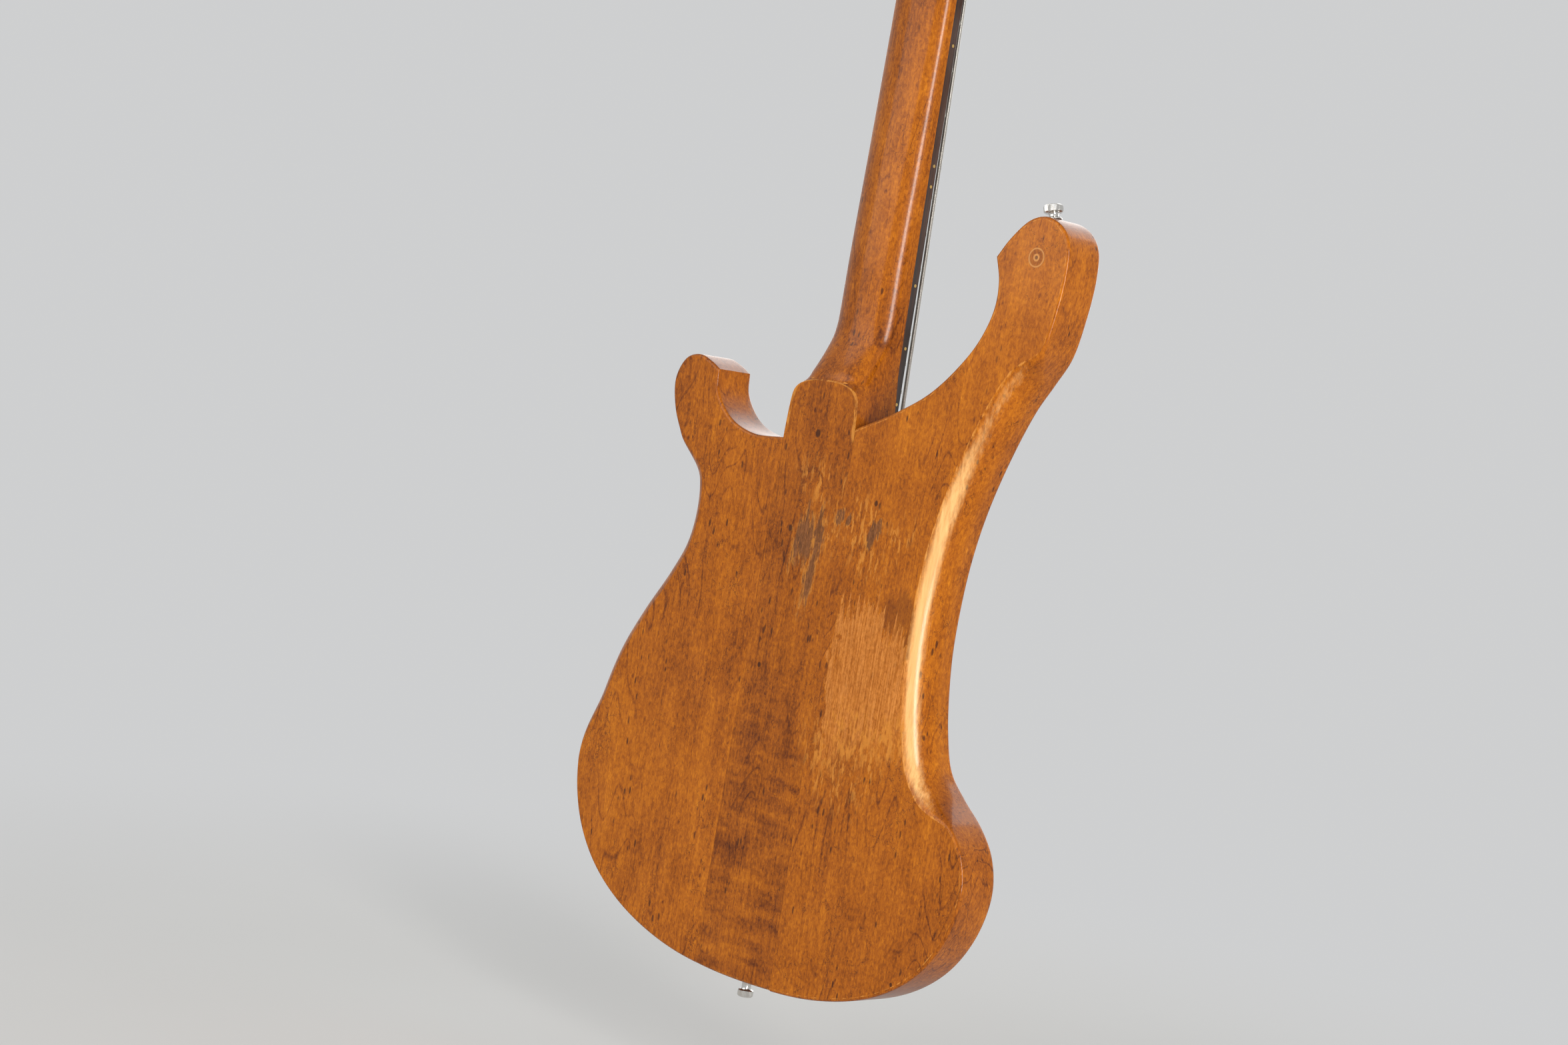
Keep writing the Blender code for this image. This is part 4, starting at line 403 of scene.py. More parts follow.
    # places on the flat of the back: a bare tan one, grey ones, dark ones and small chips
    back = y.step(THICKNESS - 0.0012, THICKNESS - 0.0004)
    ragged = wood.noise((120.0, 120.0, 52.0), 5.0, 0.7)
    spiky = wood.noise((330.0, 330.0, 26.0), 4.0, 0.62)
    fine = wood.noise((420.0, 420.0, 130.0), 3.0, 0.6)
    drift = (ragged - 0.5) * 0.030
    top = z + (-0.071 - x).most(0.0) * 0.85 + (spiky - 0.5) * 0.075 + drift
    tan = top.step(-0.6775, -0.6800)
    tan = tan * (x + drift * 1.6 + (spiky - 0.5) * 0.016).step(-0.0400, -0.0425)
    tan = tan * (z + x * 0.35 + drift * 2.2).step(-0.8100, -0.7700)
    torn = ragged * 0.55 + spiky * 0.45
    grey = patch(x, z, torn, (-0.0045, -0.646), (0.0105, 0.0185), 0.28, 0.30, 2.6)
    for spot, size, lean, soft, rough in (((-0.0110, -0.668), (0.0050, 0.021), 0.1, 0.35, 2.4),
                                          ((-0.0570, -0.6345), (0.0050, 0.0085), 0.3, 0.15, 2.2),
                                          ((-0.0285, -0.6285), (0.0032, 0.006), 0.3, 0.15, 2.2),
                                          ((-0.0360, -0.6300), (0.0018, 0.0035), 0.3, 0.15, 2.2)):
        grey = grey.most(patch(x, z, torn, spot, size, lean, soft, rough))
    dark = patch(x, z, torn, (-0.0880, -0.680), (0.0150, 0.0110), -0.5, 0.25, 2.4)
    dark = dark.most(patch(x, z, torn, (-0.0985, -0.697), (0.0045, 0.0130), 0.0, 0.15, 2.0))
    flake = fine.step(0.50, 0.565) * spiky.step(0.445, 0.52)
    chips = 0.0
    for spot, size, lean in (((-0.0240, -0.6150), (0.034, 0.014), 0.35),
                             ((-0.0480, -0.6330), (0.016, 0.017), 0.3),
                             ((-0.0190, -0.6400), (0.013, 0.016), 0.1),
                             ((-0.0790, -0.6340), (0.010, 0.016), 0.4),
                             ((-0.0560, -0.6530), (0.015, 0.010), 0.3),
                             ((-0.0620, -0.7720), (0.030, 0.030), 0.5)):
        zone = patch(x, z, ragged, spot, size, lean, 0.45, 0.8)
        chips = zone.most(chips)
    chips = chips * flake
    rim = (tan * (1.0 - tan) * 4.0 + grey * (1.0 - grey) * 3.4).least(1.0) * fine.step(0.44, 0.56)
    lint = 0.5 + (wood.noise((1100.0, 1100.0, 45.0), 3.0, 0.65) - 0.5) * 1.3
    lint = lint + (pebble - 0.5) * 0.9
    bare_tan = wood.ramp(lint, [(0.28, (0.330, 0.098, 0.0140)), (0.5, (0.520, 0.180, 0.0340)),
                                (0.72, (0.680, 0.265, 0.0650))])
    bare_grey = wood.ramp(lint, [(0.28, (0.100, 0.042, 0.018)), (0.5, (0.165, 0.070, 0.030)),
                                 (0.72, (0.250, 0.105, 0.045))])
    colour = wood.blend(back * dark * 0.45, colour, (0.13, 0.030, 0.0010))
    colour = wood.blend(back * tan * 0.72, colour, bare_tan)
    colour = wood.blend(back * grey * 0.82, colour, bare_grey)
    colour = wood.blend(back * chips.most(rim) * 0.60, colour, (0.66, 0.255, 0.034))
    bare = bare.most(back * tan.most(grey))

    # single dark knots
    for px, pz, size in ((0.0190, -0.7303, 0.0012), (-0.1291, -0.8980, 0.0010),
                         (0.0007, -0.5797, 0.0017), (0.0112, -0.6413, 0.0015),
                         (-0.0560, -0.6160, 0.0014)):
        spot = patch(x, z, cloud, (px, pz), (size, size * 1.35), 0.0, 0.3, 0.7)
        colour = wood.blend(back * spot * 0.85, colour, (0.030, 0.007, 0.001))

    # the round print of an old strap fastener on the horn, with its filled hole in the middle and a
    # painted highlight on the print's rim
    away = ((x + 0.1482) ** 2.0 + (z + 0.4560) ** 2.0) ** 0.5 + (cloud - 0.5) * 0.0006
    ring = away.step(0.0047, 0.0053) * away.step(0.0062, 0.0057)
    colour = wood.blend(back * away.step(0.0066, 0.0054) * 0.30, colour, (0.13, 0.030, 0.001))
    colour = wood.blend(back * ring * 0.70, colour, (0.62, 0.28, 0.070))
    colour = wood.blend(back * away.step(0.0026, 0.0021) * 0.75, colour, (0.62, 0.28, 0.070))
    colour = wood.blend(back * away.step(0.0014, 0.0010) * 0.8, colour, (0.10, 0.025, 0.003))
    wood.give("Base Color", colour)
    wood.give("Roughness", 0.38 + bare * 0.30 + (cloud - 0.5) * 0.14)
    wood.give("Coat Weight", (1.0 - bare * 0.75) * (0.38 + (cloud - 0.5) * 0.3))
    dents = wood.noise((60.0, 60.0, 45.0), 3.0, 0.5)
    wood.relief(fibre * 0.12 + pebble * 0.10 + dents * 0.50 + cloud * 0.16 - pit * 0.20
                - crack * 0.12 - bare * 0.14 - back * ring * 0.25, 0.00055, 0.55)
    return wood


SIDES, CROWN, FACE = 26, 30, 6
ARRIS = 0.00005


def neck_section(half, depth, power):
    """One ring per row: a superellipse |x/half|^p + |y/depth|^p = 1 behind a flat front.

    Where it would reach past the back it is cut flat there, at the same column of each row.
    """
    room = THICKNESS - FRONT
    full = 0.5 * math.pi
    turn = np.where(depth > room, np.arcsin(np.minimum(1.0, room / depth) ** (power / 2.0)),
                    0.8 * full)
    angle = turn[:, None] * np.linspace(0.0, 1.0, SIDES + 1)[None]
    p, h, d = power[:, None], half[:, None], depth[:, None]
    side_x = h * np.cos(angle) ** (2.0 / p)
    side_y = np.minimum(room, d * np.sin(angle) ** (2.0 / p))
    crown_x = side_x[:, -1:] * (1.0 - 2.0 * np.arange(1, CROWN) / CROWN)
    crown_y = np.minimum(room, d * (1.0 - np.abs(crown_x / h) ** p) ** (1.0 / p))
    face_x = h * (2.0 * np.arange(1, FACE) / FACE - 1.0)
    x = np.concatenate([side_x, crown_x, -side_x[:, ::-1], face_x], axis=1)
    y = np.concatenate([side_y, crown_y, side_y[:, ::-1], 0.0 * face_x], axis=1)
    return x, y


def block_section(half, front, back):
    """The same columns round a rectangle whose back corners have a small round, the arris."""
    inset, fall = rounding(ARRIS, 7, True)
    run = np.linspace(0.0, 1.0, SIDES - 5)[:-1]
    x = np.concatenate([np.full(len(run), half), half - inset])
    y = np.concatenate([front + (back - ARRIS - front) * run, back - fall])
    x = np.concatenate([x, x[-1] * (1.0 - 2.0 * np.arange(1, CROWN) / CROWN), -x[::-1],
                        half * (2.0 * np.arange(1, FACE) / FACE - 1.0)])
    y = np.concatenate([y, np.full(CROWN - 1, back), y[::-1], np.full(FACE - 1, front)])
    return x, y


def tail_height(x):
    """The tail's outline near the middle: a parabola on each side of its lowest point."""
    return TAIL + np.where(x < 0.0, 0.0033 * (x / 0.0633) ** 2, 0.0051 * (x / 0.0596) ** 2)


def tip_height(x):
    """The head's tip, which falls by 5 mm to the seams as a parabola."""
    return HEAD_TIP - 0.0050 * (x / HEAD_SEAM) ** 2


TONGUE_LOW, TONGUE_TOP = -0.5850, -0.5440
rows = []
for angle in np.linspace(0.0, 0.5 * math.pi, 7):
    sunk = 1.0 - math.sin(angle)
    x, y = block_section(seam_half(TAIL), FRONT_ROUND * sunk, THICKNESS - BACK_ROUND * sunk)
    nearer = np.where(y < 0.5 * THICKNESS, FRONT_ROUND, BACK_ROUND)
    rows.append(grid(x, y, tail_height(x) + nearer * (1.0 - math.cos(angle))))
for z in [*np.linspace(-0.9200, BOARD_END - 0.0024, 12), BOARD_END - 0.0020]:
    x, y = block_section(seam_half(z), FRONT if z > BOARD_END - 0.0022 else 0.0, THICKNESS)
    rows.append(grid(x, y, z))
stations = np.concatenate([np.arange(*run) for run in (
    (TONGUE_LOW, -0.5580, 0.0015), (-0.5580, TONGUE_TOP, 0.00035), (TONGUE_TOP, -0.5020, 0.0012),
    (-0.5020, 0.0015, 0.0060), (0.0015, 0.0016, 0.0010))])
halves = np.where(stations > -0.5080, board_half(stations),
                  along_table(HEEL_WIDTHS, stations, 1))
x, y = neck_section(halves, along_table(NECK_SHAPE, stations, 1),
                    along_table(NECK_SHAPE, stations, 2))
rows += list(grid(x, FRONT + y, stations[:, None]))
throat = np.array([(0.0030, 0.0142, 2.4), (0.0055, 0.0152, 2.7), (0.0080, 0.0160, 3.2),
                   (0.0110, 0.0161, 4.4), (0.0140, 0.0160, 6.0)])
x, y = neck_section(np.full(5, HEAD_SEAM - 0.0002), throat[:, 1], throat[:, 2])
rows += list(head_to_world(grid(x, y, throat[:, :1])))
for z in (0.0195, 0.0600, 0.1200, 0.1750):
    rows.append(head_to_world(grid(*block_section(HEAD_SEAM, 0.0, HEAD_THICKNESS), z)))
for angle in np.linspace(0.0, 0.5 * math.pi, 6):
    inset = HEAD_EDGE * (1.0 - math.cos(angle))
    x, y = block_section(HEAD_SEAM, inset, HEAD_THICKNESS - inset)
    rows.append(head_to_world(grid(x, y, tip_height(x) - HEAD_EDGE * (1.0 - math.sin(angle)))))
# the last row lies in the middle of the board's thickness, so that the top follows its curve
x, y = block_section(HEAD_SEAM, 0.0, HEAD_THICKNESS)
y = 0.5 * HEAD_THICKNESS + 0.01 * (y - 0.5 * HEAD_THICKNESS)
rows.append(head_to_world(grid(x, y, tip_height(x))))
rows = np.array(rows)

# the rim of the tongue, where the neck's section is cut by the back, is where lacquer rubs off
x, y, z = rows[..., 0], rows[..., 1], rows[..., 2]
columns = np.arange(rows.shape[1])[None]
rim = np.minimum(np.abs(columns - SIDES), np.abs(columns - SIDES - CROWN))
rim_edge = 0.9 * ((rim <= 1) & (z > TONGUE_LOW) & (z < TONGUE_TOP) & (y > 0.0300))
top_edge = np.exp(-((y - THICKNESS) / 0.0012) ** 2) * np.exp(-((z + 0.5462) / 0.0011) ** 2)
tail_edge = np.exp(-((z - TAIL - 0.0012) / 0.0012) ** 2) * (np.abs(y - THICKNESS) < 0.0025)
neck_edges = np.clip(rim_edge + 0.9 * top_edge + 0.7 * tail_edge, 0.0, 1.0)
strip_maple = aged_maple("strip_maple", (0.31, 0.12, 0.07), 0.97, strip=True)
neck = solid_piece("neck_and_strip", skin(rows), strip_maple, 30.0,
                   node="neck_blank", marks={"edge": neck_edges})


# The body's wings: two maple boards glued to the strip's sides. They are cut to the outline,
# rounded over in front, relieved behind where the player's ribs and thigh rest, and lacquered
# with the strip. The hollows are routed from the front before the lacquer goes on.
BASS_RUN = np.array([
    (-0.0293, 0.27185), (-0.0575, 0.28475), (-0.0824, 0.29955), (-0.1006, 0.31675),
    (-0.1147, 0.33575), (-0.1222, 0.35575), (-0.1222, 0.37205), (-0.1176, 0.38665)])
HORN_TO_HORN = np.array([
    (-0.1176, 0.38665), (-0.1260, 0.39855), (-0.1389, 0.41045), (-0.1500, 0.41325),
    (-0.1620, 0.40895), (-0.1698, 0.39935), (-0.1720, 0.38185), (-0.1691, 0.35435),
    (-0.1640, 0.33275), (-0.1544, 0.31605), (-0.1438, 0.29865), (-0.1294, 0.26435),
    (-0.1189, 0.23025), (-0.1129, 0.19645), (-0.1107, 0.15455), (-0.1121, 0.13045),
    (-0.1173, 0.09845), (-0.1250, 0.07605), (-0.1384, 0.06185), (-0.1537, 0.04875),
    (-0.1651, 0.03375), (-0.1705, 0.01335), (-0.1665, -0.01045), (-0.1546, -0.03355),
    (-0.1377, -0.05125), (-0.1095, -0.06775), (-0.0633, -0.08035), (0.0000, -0.08365),
    (0.0596, -0.07855), (0.1061, -0.06365), (0.1367, -0.04415), (0.1559, -0.02145),
    (0.1664, 0.00355), (0.1698, 0.03055), (0.1678, 0.05655), (0.1545, 0.10135),
    (0.1383, 0.13185), (0.1191, 0.16155), (0.1084, 0.18255), (0.1051, 0.20405),
    (0.1070, 0.22055), (0.1131, 0.23555), (0.1220, 0.24955), (0.1311, 0.26625),
    (0.1345, 0.28515), (0.1273, 0.29895), (0.1158, 0.30255), (0.1043, 0.29915),
    (0.0960, 0.29485)])
TREBLE_RUN = np.array([
    (0.0960, 0.29485), (0.0944, 0.28255), (0.0876, 0.27235), (0.0763, 0.26355),
    (0.0566, 0.25775), (0.0298, 0.25875)])
BASS_RELIEF = (-0.5080, -0.5330, -0.7780, -0.7990)
TREBLE_RELIEF = (-0.5960, -0.6240, -0.7700, -0.8240)
RELIEF_DEPTH, RELIEF_WIDTH = 0.0220, 0.0120
GLUE_LINE = 0.00004


def smooth_run(knots, step, closed=False):
    """Points about a step apart on a centripetal Catmull-Rom curve through the knots.

    The parameter grows by the square root of each chord, and a point is the three-level
    blend of the four knots round its span.
    """
    if closed:
        line = np.concatenate([knots[-1:], knots, knots[:2]])
    else:
        line = np.concatenate([2.0 * knots[:1] - knots[1:2], knots,
                               2.0 * knots[-1:] - knots[-2:-1]])
    chords = np.linalg.norm(np.diff(line, axis=0), axis=1)
    parts = np.maximum(1, np.round(chords[1:-1] / step).astype(int))
    span = np.repeat(np.arange(len(parts)), parts)
    share = (np.arange(len(span)) - np.repeat(np.cumsum(parts) - parts, parts)) / parts[span]
    p0, p1, p2, p3 = (line[span + k] for k in range(4))
    t1 = np.sqrt(chords[span])[:, None]
    t2 = t1 + np.sqrt(chords[span + 1])[:, None]
    t3 = t2 + np.sqrt(chords[span + 2])[:, None]
    t = t1 + (t2 - t1) * share[:, None]
    a1 = p0 * ((t1 - t) / t1) + p1 * (t / t1)
    a2 = p1 * ((t2 - t) / (t2 - t1)) + p2 * ((t - t1) / (t2 - t1))
    a3 = p2 * ((t3 - t) / (t3 - t2)) + p3 * ((t - t2) / (t3 - t2))
    b1 = a1 * ((t2 - t) / t2) + a2 * (t / t2)
    b2 = a2 * ((t3 - t) / (t3 - t1)) + a3 * ((t - t1) / (t3 - t1))
    found = b1 * ((t2 - t) / (t2 - t1)) + b2 * ((t - t1) / (t2 - t1))
    return found if closed else np.concatenate([found, knots[-1:]])


SEAM_STEPS = 150


def rim_rows(run, insets, depths, seam_steps):
    """Rows of a plate round an open outline whose two ends are joined by a straight seam.

    A point moves inwards along the bisector of its two chords by inset / cos(half their turn).
    The points beside a sharp corner keep behind it, and the ends slide along the seam.
    """
    chords = np.diff(run, axis=0)
    lengths = np.linalg.norm(chords, axis=1)
    chords = chords / lengths[:, None]
    along = np.concatenate([chords[:1], chords[:-1] + chords[1:], chords[-1:]])
    along = along / np.linalg.norm(along, axis=1)[:, None]
    area = np.sum(run[:-1, 0] * run[1:, 1] - run[1:, 0] * run[:-1, 1])
    area += run[-1, 0] * run[0, 1] - run[0, 0] * run[-1, 1]
    inward = math.copysign(1.0, area) * np.stack([-along[:, 1], along[:, 0]], -1)
    turn = np.ones(len(run))
    turn[1:-1] = np.sqrt(np.maximum(0.2, 0.5 + 0.5 * np.sum(chords[:-1] * chords[1:], 1)))
    far = np.concatenate([[0.0], np.cumsum(lengths)])
    slide = np.zeros(insets.shape)
    for corner in np.flatnonzero(turn < 0.95):
        away = far - far[corner]
        lead = insets * math.sqrt(1.0 / turn[corner] ** 2 - 1.0) - 0.93 * np.abs(away)
        slide += np.where(np.abs(away) < 0.012, np.sign(away) * np.maximum(0.0, lead), 0.0)
    moved = (run[None] + inward[None] * (insets / turn)[..., None]
             + along[None] * slide[..., None])
    seam = run[-1] - run[0]
    seam = seam / np.linalg.norm(seam)
    moved[:, 0] = run[0] + seam * (insets[:, 0] / (seam @ inward[0]))[:, None]
    moved[:, -1] = run[-1] + seam * (insets[:, -1] / (seam @ inward[-1]))[:, None]
    share = (np.arange(1, seam_steps) / seam_steps)[None, :, None]
    joint = moved[:, -1:] * (1.0 - share) + moved[:, :1] * share
    deep = depths[:, -1:] * (1.0 - share[..., 0]) + depths[:, :1] * share[..., 0]
    flat = np.concatenate([moved, joint], axis=1)
    return grid(flat[..., 0], np.concatenate([depths, deep], axis=1), flat[..., 1])


def relief_share(points, relief):
    """How far the back is relieved at each point of the outline: eased in and out by height."""
    top_in, top_full, low_full, low_out = relief
    aside, height = np.abs(points[:, 0]), points[:, 1]
    share = eased((top_in - height) / (top_in - top_full))
    share = share * eased((height - low_out) / (low_full - low_out))
    # the inner sides of the horns keep their full edge
    return np.where(aside < np.where(height > -0.56, 0.135, 0.09), 0.0, share)


def wing_run(side):
    """One side's outline, from where it leaves the strip to where it comes back to it."""
    whole = np.concatenate([smooth_run(BASS_RUN, 0.0021)[:-1],
                            smooth_run(HORN_TO_HORN, 0.0021)[:-1],
                            smooth_run(TREBLE_RUN, 0.0021)])
    whole = np.concatenate([2.0 * whole[:1] - whole[1:2], whole, 2.0 * whole[-1:] - whole[-2:-1]])
    whole[:, 1] -= SCALE
    beyond = side * whole[:, 0] - seam_half(whole[:, 1]) - GLUE_LINE
    inside = np.flatnonzero(beyond > 0.0)
    first, last = inside[0], inside[-1]
    run = [whole[first:last + 1]]
    for k, other in ((first, first - 1), (last, last + 1)):
        share = beyond[k] / (beyond[k] - beyond[other])
        point = (whole[k] * (1.0 - share) + whole[other] * share)[None]
        run = [point] + run if other < k else run + [point]
    run = np.concatenate(run)
    keep = np.concatenate([[True], np.linalg.norm(np.diff(run, axis=0), axis=1) > 0.0005])
    keep[-2] &= keep[-1]
    keep[-1] = True
    return run[keep]


def body_wing(name, side, relief, finish, worn):
    """A wing as rows from its front face, round its side, to the middle of its back."""
    run = wing_run(side)
    share = relief_share(run, relief)[None]
    deep = BACK_ROUND + (RELIEF_DEPTH - BACK_ROUND) * share
    wide = BACK_ROUND + (RELIEF_WIDTH - BACK_ROUND) * share
    inset, fall = rounding(FRONT_ROUND, 8)
    rise = np.linspace(0.0, 1.0, 8)[1:-1, None]
    last = 0.5 * math.pi - math.radians(15.0) * share
    turn = np.linspace(0.0, 1.0, 18)[:, None] * last
    inner = wide + np.array([0.0004, 0.0009, 0.0016, 0.0026, 0.0040])[:, None]
    insets = [inset[:, None] + 0.0 * share, 0.0 * rise * share,
              wide * (1.0 - np.cos(turn)) / (1.0 - np.cos(last)), inner]
    depths = [fall[:, None] + 0.0 * share, FRONT_ROUND + (THICKNESS - deep - FRONT_ROUND) * rise,
              THICKNESS - deep * (1.0 - np.sin(turn) / np.sin(last)), THICKNESS + 0.0 * inner]
    rows = rim_rows(run, np.concatenate(insets), np.concatenate(depths), SEAM_STEPS)

    # the ridge round the back and the front edge are rubbed, and the crest of the relief is partly
    # worn thin and partly a painted highlight; worn scales both
    at = len(fall) + len(rise) + len(turn) - 1
    fade, crest = np.zeros((2, *rows.shape[:2]))
    fade[at - 3:at + 5, :len(run)] = np.outer((0.10, 0.35, 0.75, 1.0, 0.80, 0.42, 0.16, 0.04),
                                              0.40 + 0.45 * worn + 0.05 * share[0])
    fade[2:6, :len(run)] = np.array([[0.15], [0.3], [0.3], [0.15]])
    height = run[:, 1]
    # the painted highlight on the crest is strongest along the middle of the relief and weaker at
    # its ends
    lit = 0.45 + 0.55 * eased((-0.555 - height) / 0.06) * eased((height + 0.790) / 0.03)
    crest[14:at + 2, :len(run)] = np.outer(
        np.exp(-((np.arange(14, at + 2) - at + 4.0) / 4.2) ** 2), share[0] * lit * worn)
    return solid_piece(name, skin(rows), finish, 24.0,
                       marks={"edge": fade, "crest": crest})


bass_maple = aged_maple("bass_wing_maple", (0.0, 0.35, 0.61), 1.0)
bass_wing = body_wing("body_wing_bass", -1.0, BASS_RELIEF, bass_maple, 1.0)
treble_maple = aged_maple("treble_wing_maple", (0.17, -0.22, 0.37), 1.03)
treble_wing = body_wing("body_wing_treble", 1.0, TREBLE_RELIEF, treble_maple, 0.35)


def block(low, high):
    """The eight corners and six sides of an upright block."""
    corners = np.array([(x, y, z) for z in (low[2], high[2])
                        for x, y in ((low[0], low[1]), (high[0], low[1]),
                                     (high[0], high[1]), (low[0], high[1]))])
    return skin(corners.reshape(2, 4, 3))


def drill(start, end, radius, sides=40):
    """A cylinder between two points: start + s (end - start) + radius (u cos a + v sin a)."""
    start, end = np.array(start), np.array(end)
    along = (end - start) / np.linalg.norm(end - start)
    u = np.cross(along, (0.31, 0.87, 0.39))
    u /= np.linalg.norm(u)
    a = circle(sides)[:, None]
    ring = radius * (u * np.cos(a) + np.cross(along, u) * np.sin(a))
    return skin(np.stack([start + ring, end + ring]))


def routed(piece, *shapes, crossing=False):
    """Take closed shapes out of a piece, whose own parts may cross, with exact Booleans."""
    tools = []
    for points, faces in shapes:
        mesh = bpy.data.meshes.new("cutter")
        points = points.reshape(-1, 3)
        mesh.from_pydata(points.tolist(), [], outward(points, faces))
        tool = bpy.data.objects.new("cutter", mesh)
        bpy.context.scene.collection.objects.link(tool)
        step = piece.modifiers.new("cut", "BOOLEAN")
        step.solver, step.object, step.use_self = "EXACT", tool, crossing
        tools.append(tool)
    graph = bpy.context.evaluated_depsgraph_get()
    finished = bpy.data.meshes.new_from_object(piece.evaluated_get(graph))
    normals = np.empty(len(finished.polygons) * 3)
    finished.polygons.foreach_get("normal", normals)
    level = np.abs(normals.reshape(-1, 3)).max(axis=1) > 0.999999
    smooth = np.empty(len(finished.polygons), bool)
    finished.polygons.foreach_get("use_smooth", smooth)
    finished.polygons.foreach_set("use_smooth", smooth & ~level)
    piece.modifiers.clear()
    piece.data = finished
    for tool in tools:
        bpy.data.meshes.remove(tool.data)


PICKUP_HEIGHTS = (BOARD_END - 0.0383, -0.7450)
pickup_hollows = [block((-0.0314, -0.01, z - 0.0194), (0.0314, 0.0166, z + 0.0194))
                  for z in PICKUP_HEIGHTS]
control_outline = smooth_run(np.array([
    (0.0500, 0.14455), (0.0880, 0.14455), (0.1120, 0.09955), (0.1340, 0.05455),
    (0.1400, 0.01855), (0.1330, -0.00745), (0.1100, -0.02945), (0.0800, -0.03545),
    (0.0560, -0.02745), (0.0500, 0.00455)]), 0.004, closed=True)
control_hollow = grid(control_outline[:, 0], np.array([[-0.01], [0.025]]),
                      control_outline[:, 1] - SCALE)
JACK_CENTRE = np.array([0.1672, 0.5 * THICKNESS, -0.8260])
HORN_SPOT = np.array([-0.1442, 0.5 * THICKNESS, -0.4322])
HORN_WAY = np.array([math.sin(math.radians(15.0)), 0.0, math.cos(math.radians(15.0))])
TAIL_SPOT = np.array([0.0, 0.5 * THICKNESS, TAIL])
routed(bass_wing, *pickup_hollows,
       drill(HORN_SPOT - 0.019 * HORN_WAY, HORN_SPOT + 0.006 * HORN_WAY, 0.0018))
routed(treble_wing, *pickup_hollows, skin(control_hollow),
       drill(JACK_CENTRE - (0.033, 0.0, 0.0), JACK_CENTRE + (0.01, 0.0, 0.0), 0.0056),
       drill(JACK_CENTRE, JACK_CENTRE + (0.01, 0.0, 0.0), 0.0116, 64))
routed(neck, *pickup_hollows,
       block((-0.0089, -0.01, -0.5300), (-0.0031, 0.0038, 0.0076)),
       block((0.0031, -0.01, -0.5300), (0.0089, 0.0038, 0.0076)),
       block((-0.0112, -0.01, 0.0068), (0.0112, 0.0050, 0.0300)),
       drill(TAIL_SPOT - (0.0, 0.0, 0.006), TAIL_SPOT + (0.0, 0.0, 0.019), 0.0018))


# The ears of the headstock: two more pieces of maple glued to the blank's sides, cut to the
# same outline in front and behind, rounded all round and drilled for the four string posts.
HEAD_RUN = np.array([
    (0.0215, 0.0200), (0.0310, 0.0260), (0.0435, 0.0385), (0.0480, 0.0560), (0.0470, 0.0840),
    (0.0455, 0.1100), (0.0465, 0.1360), (0.0435, 0.1600), (0.0340, 0.1770), (0.0215, 0.1840),
    (0.0110, 0.1877), (0.0000, 0.1890)])
POSTS = {"e": (-0.0310, 0.0580), "a": (-0.0300, 0.1200), "d": (0.0300, 0.1200),
         "g": (0.0310, 0.0580)}


def head_ear(name, side, finish):
    """An ear as rows round its outline: a quarter circle in front and one behind."""
    run = smooth_run(HEAD_RUN, 0.0016)
    edge = HEAD_SEAM + GLUE_LINE
    last = np.flatnonzero(run[:, 0] > edge)[-1]
    share = (run[last, 0] - edge) / (run[last, 0] - run[last + 1, 0])
    end = run[last] * (1.0 - share) + run[last + 1] * share
    run = np.concatenate([[(edge, 0.02003)], run[1:last + 1], [end]]) * (side, 1.0)
    inset, fall = rounding(HEAD_EDGE, 7)
    rise = np.linspace(0.0, 1.0, 6)[1:-1]
    insets = np.concatenate([inset, 0.0 * rise, inset[::-1]])[:, None]
    depths = np.concatenate([fall, HEAD_EDGE + (HEAD_THICKNESS - 2.0 * HEAD_EDGE) * rise,
                             HEAD_THICKNESS - fall[::-1]])[:, None]
    level = np.zeros(len(run))
    rows = rim_rows(run, insets + level, depths + level, 70)
    fade = np.zeros(rows.shape[:2])
    fade[[3, 4, 5, 12, 13, 14], :len(run)] = 0.28
    ear = solid_piece(name, skin(head_to_world(rows)), finish, 30.0,
                      marks={"edge": fade})
    holes = [head_to_world(np.array([(x, -0.01, z), (x, 0.025, z)]))
             for x, z in POSTS.values() if x * side > 0.0]
    routed(ear, *(drill(low, high, 0.0064) for low, high in holes))
    return ear


head_ear("head_wing_bass", -1.0, aged_maple("bass_ear_maple", (0.4, 0.15, 0.9), 0.98))
head_ear("head_wing_treble", 1.0, aged_maple("treble_ear_maple", (0.22, 0.5, 0.2), 1.0))


# The fingerboard: rosewood glued to the neck's flat face, tapered and cambered, its long edges
# eased. Round dots are set into the face and small gold ones into the side the player sees.
BOARD_CROWN = -0.0116
CAMBER = 0.254
FRET_HEIGHTS = -SCALE * (1.0 - 2.0 ** (-np.arange(1, 21) / 12.0))
DOT_FRETS = (3, 5, 7, 9, 15, 17, 19)


def camber(x):
    """Height of the cambered face: a circle's parabola, crown + x^2 / 2R."""
    return BOARD_CROWN + x * x / (2.0 * CAMBER)


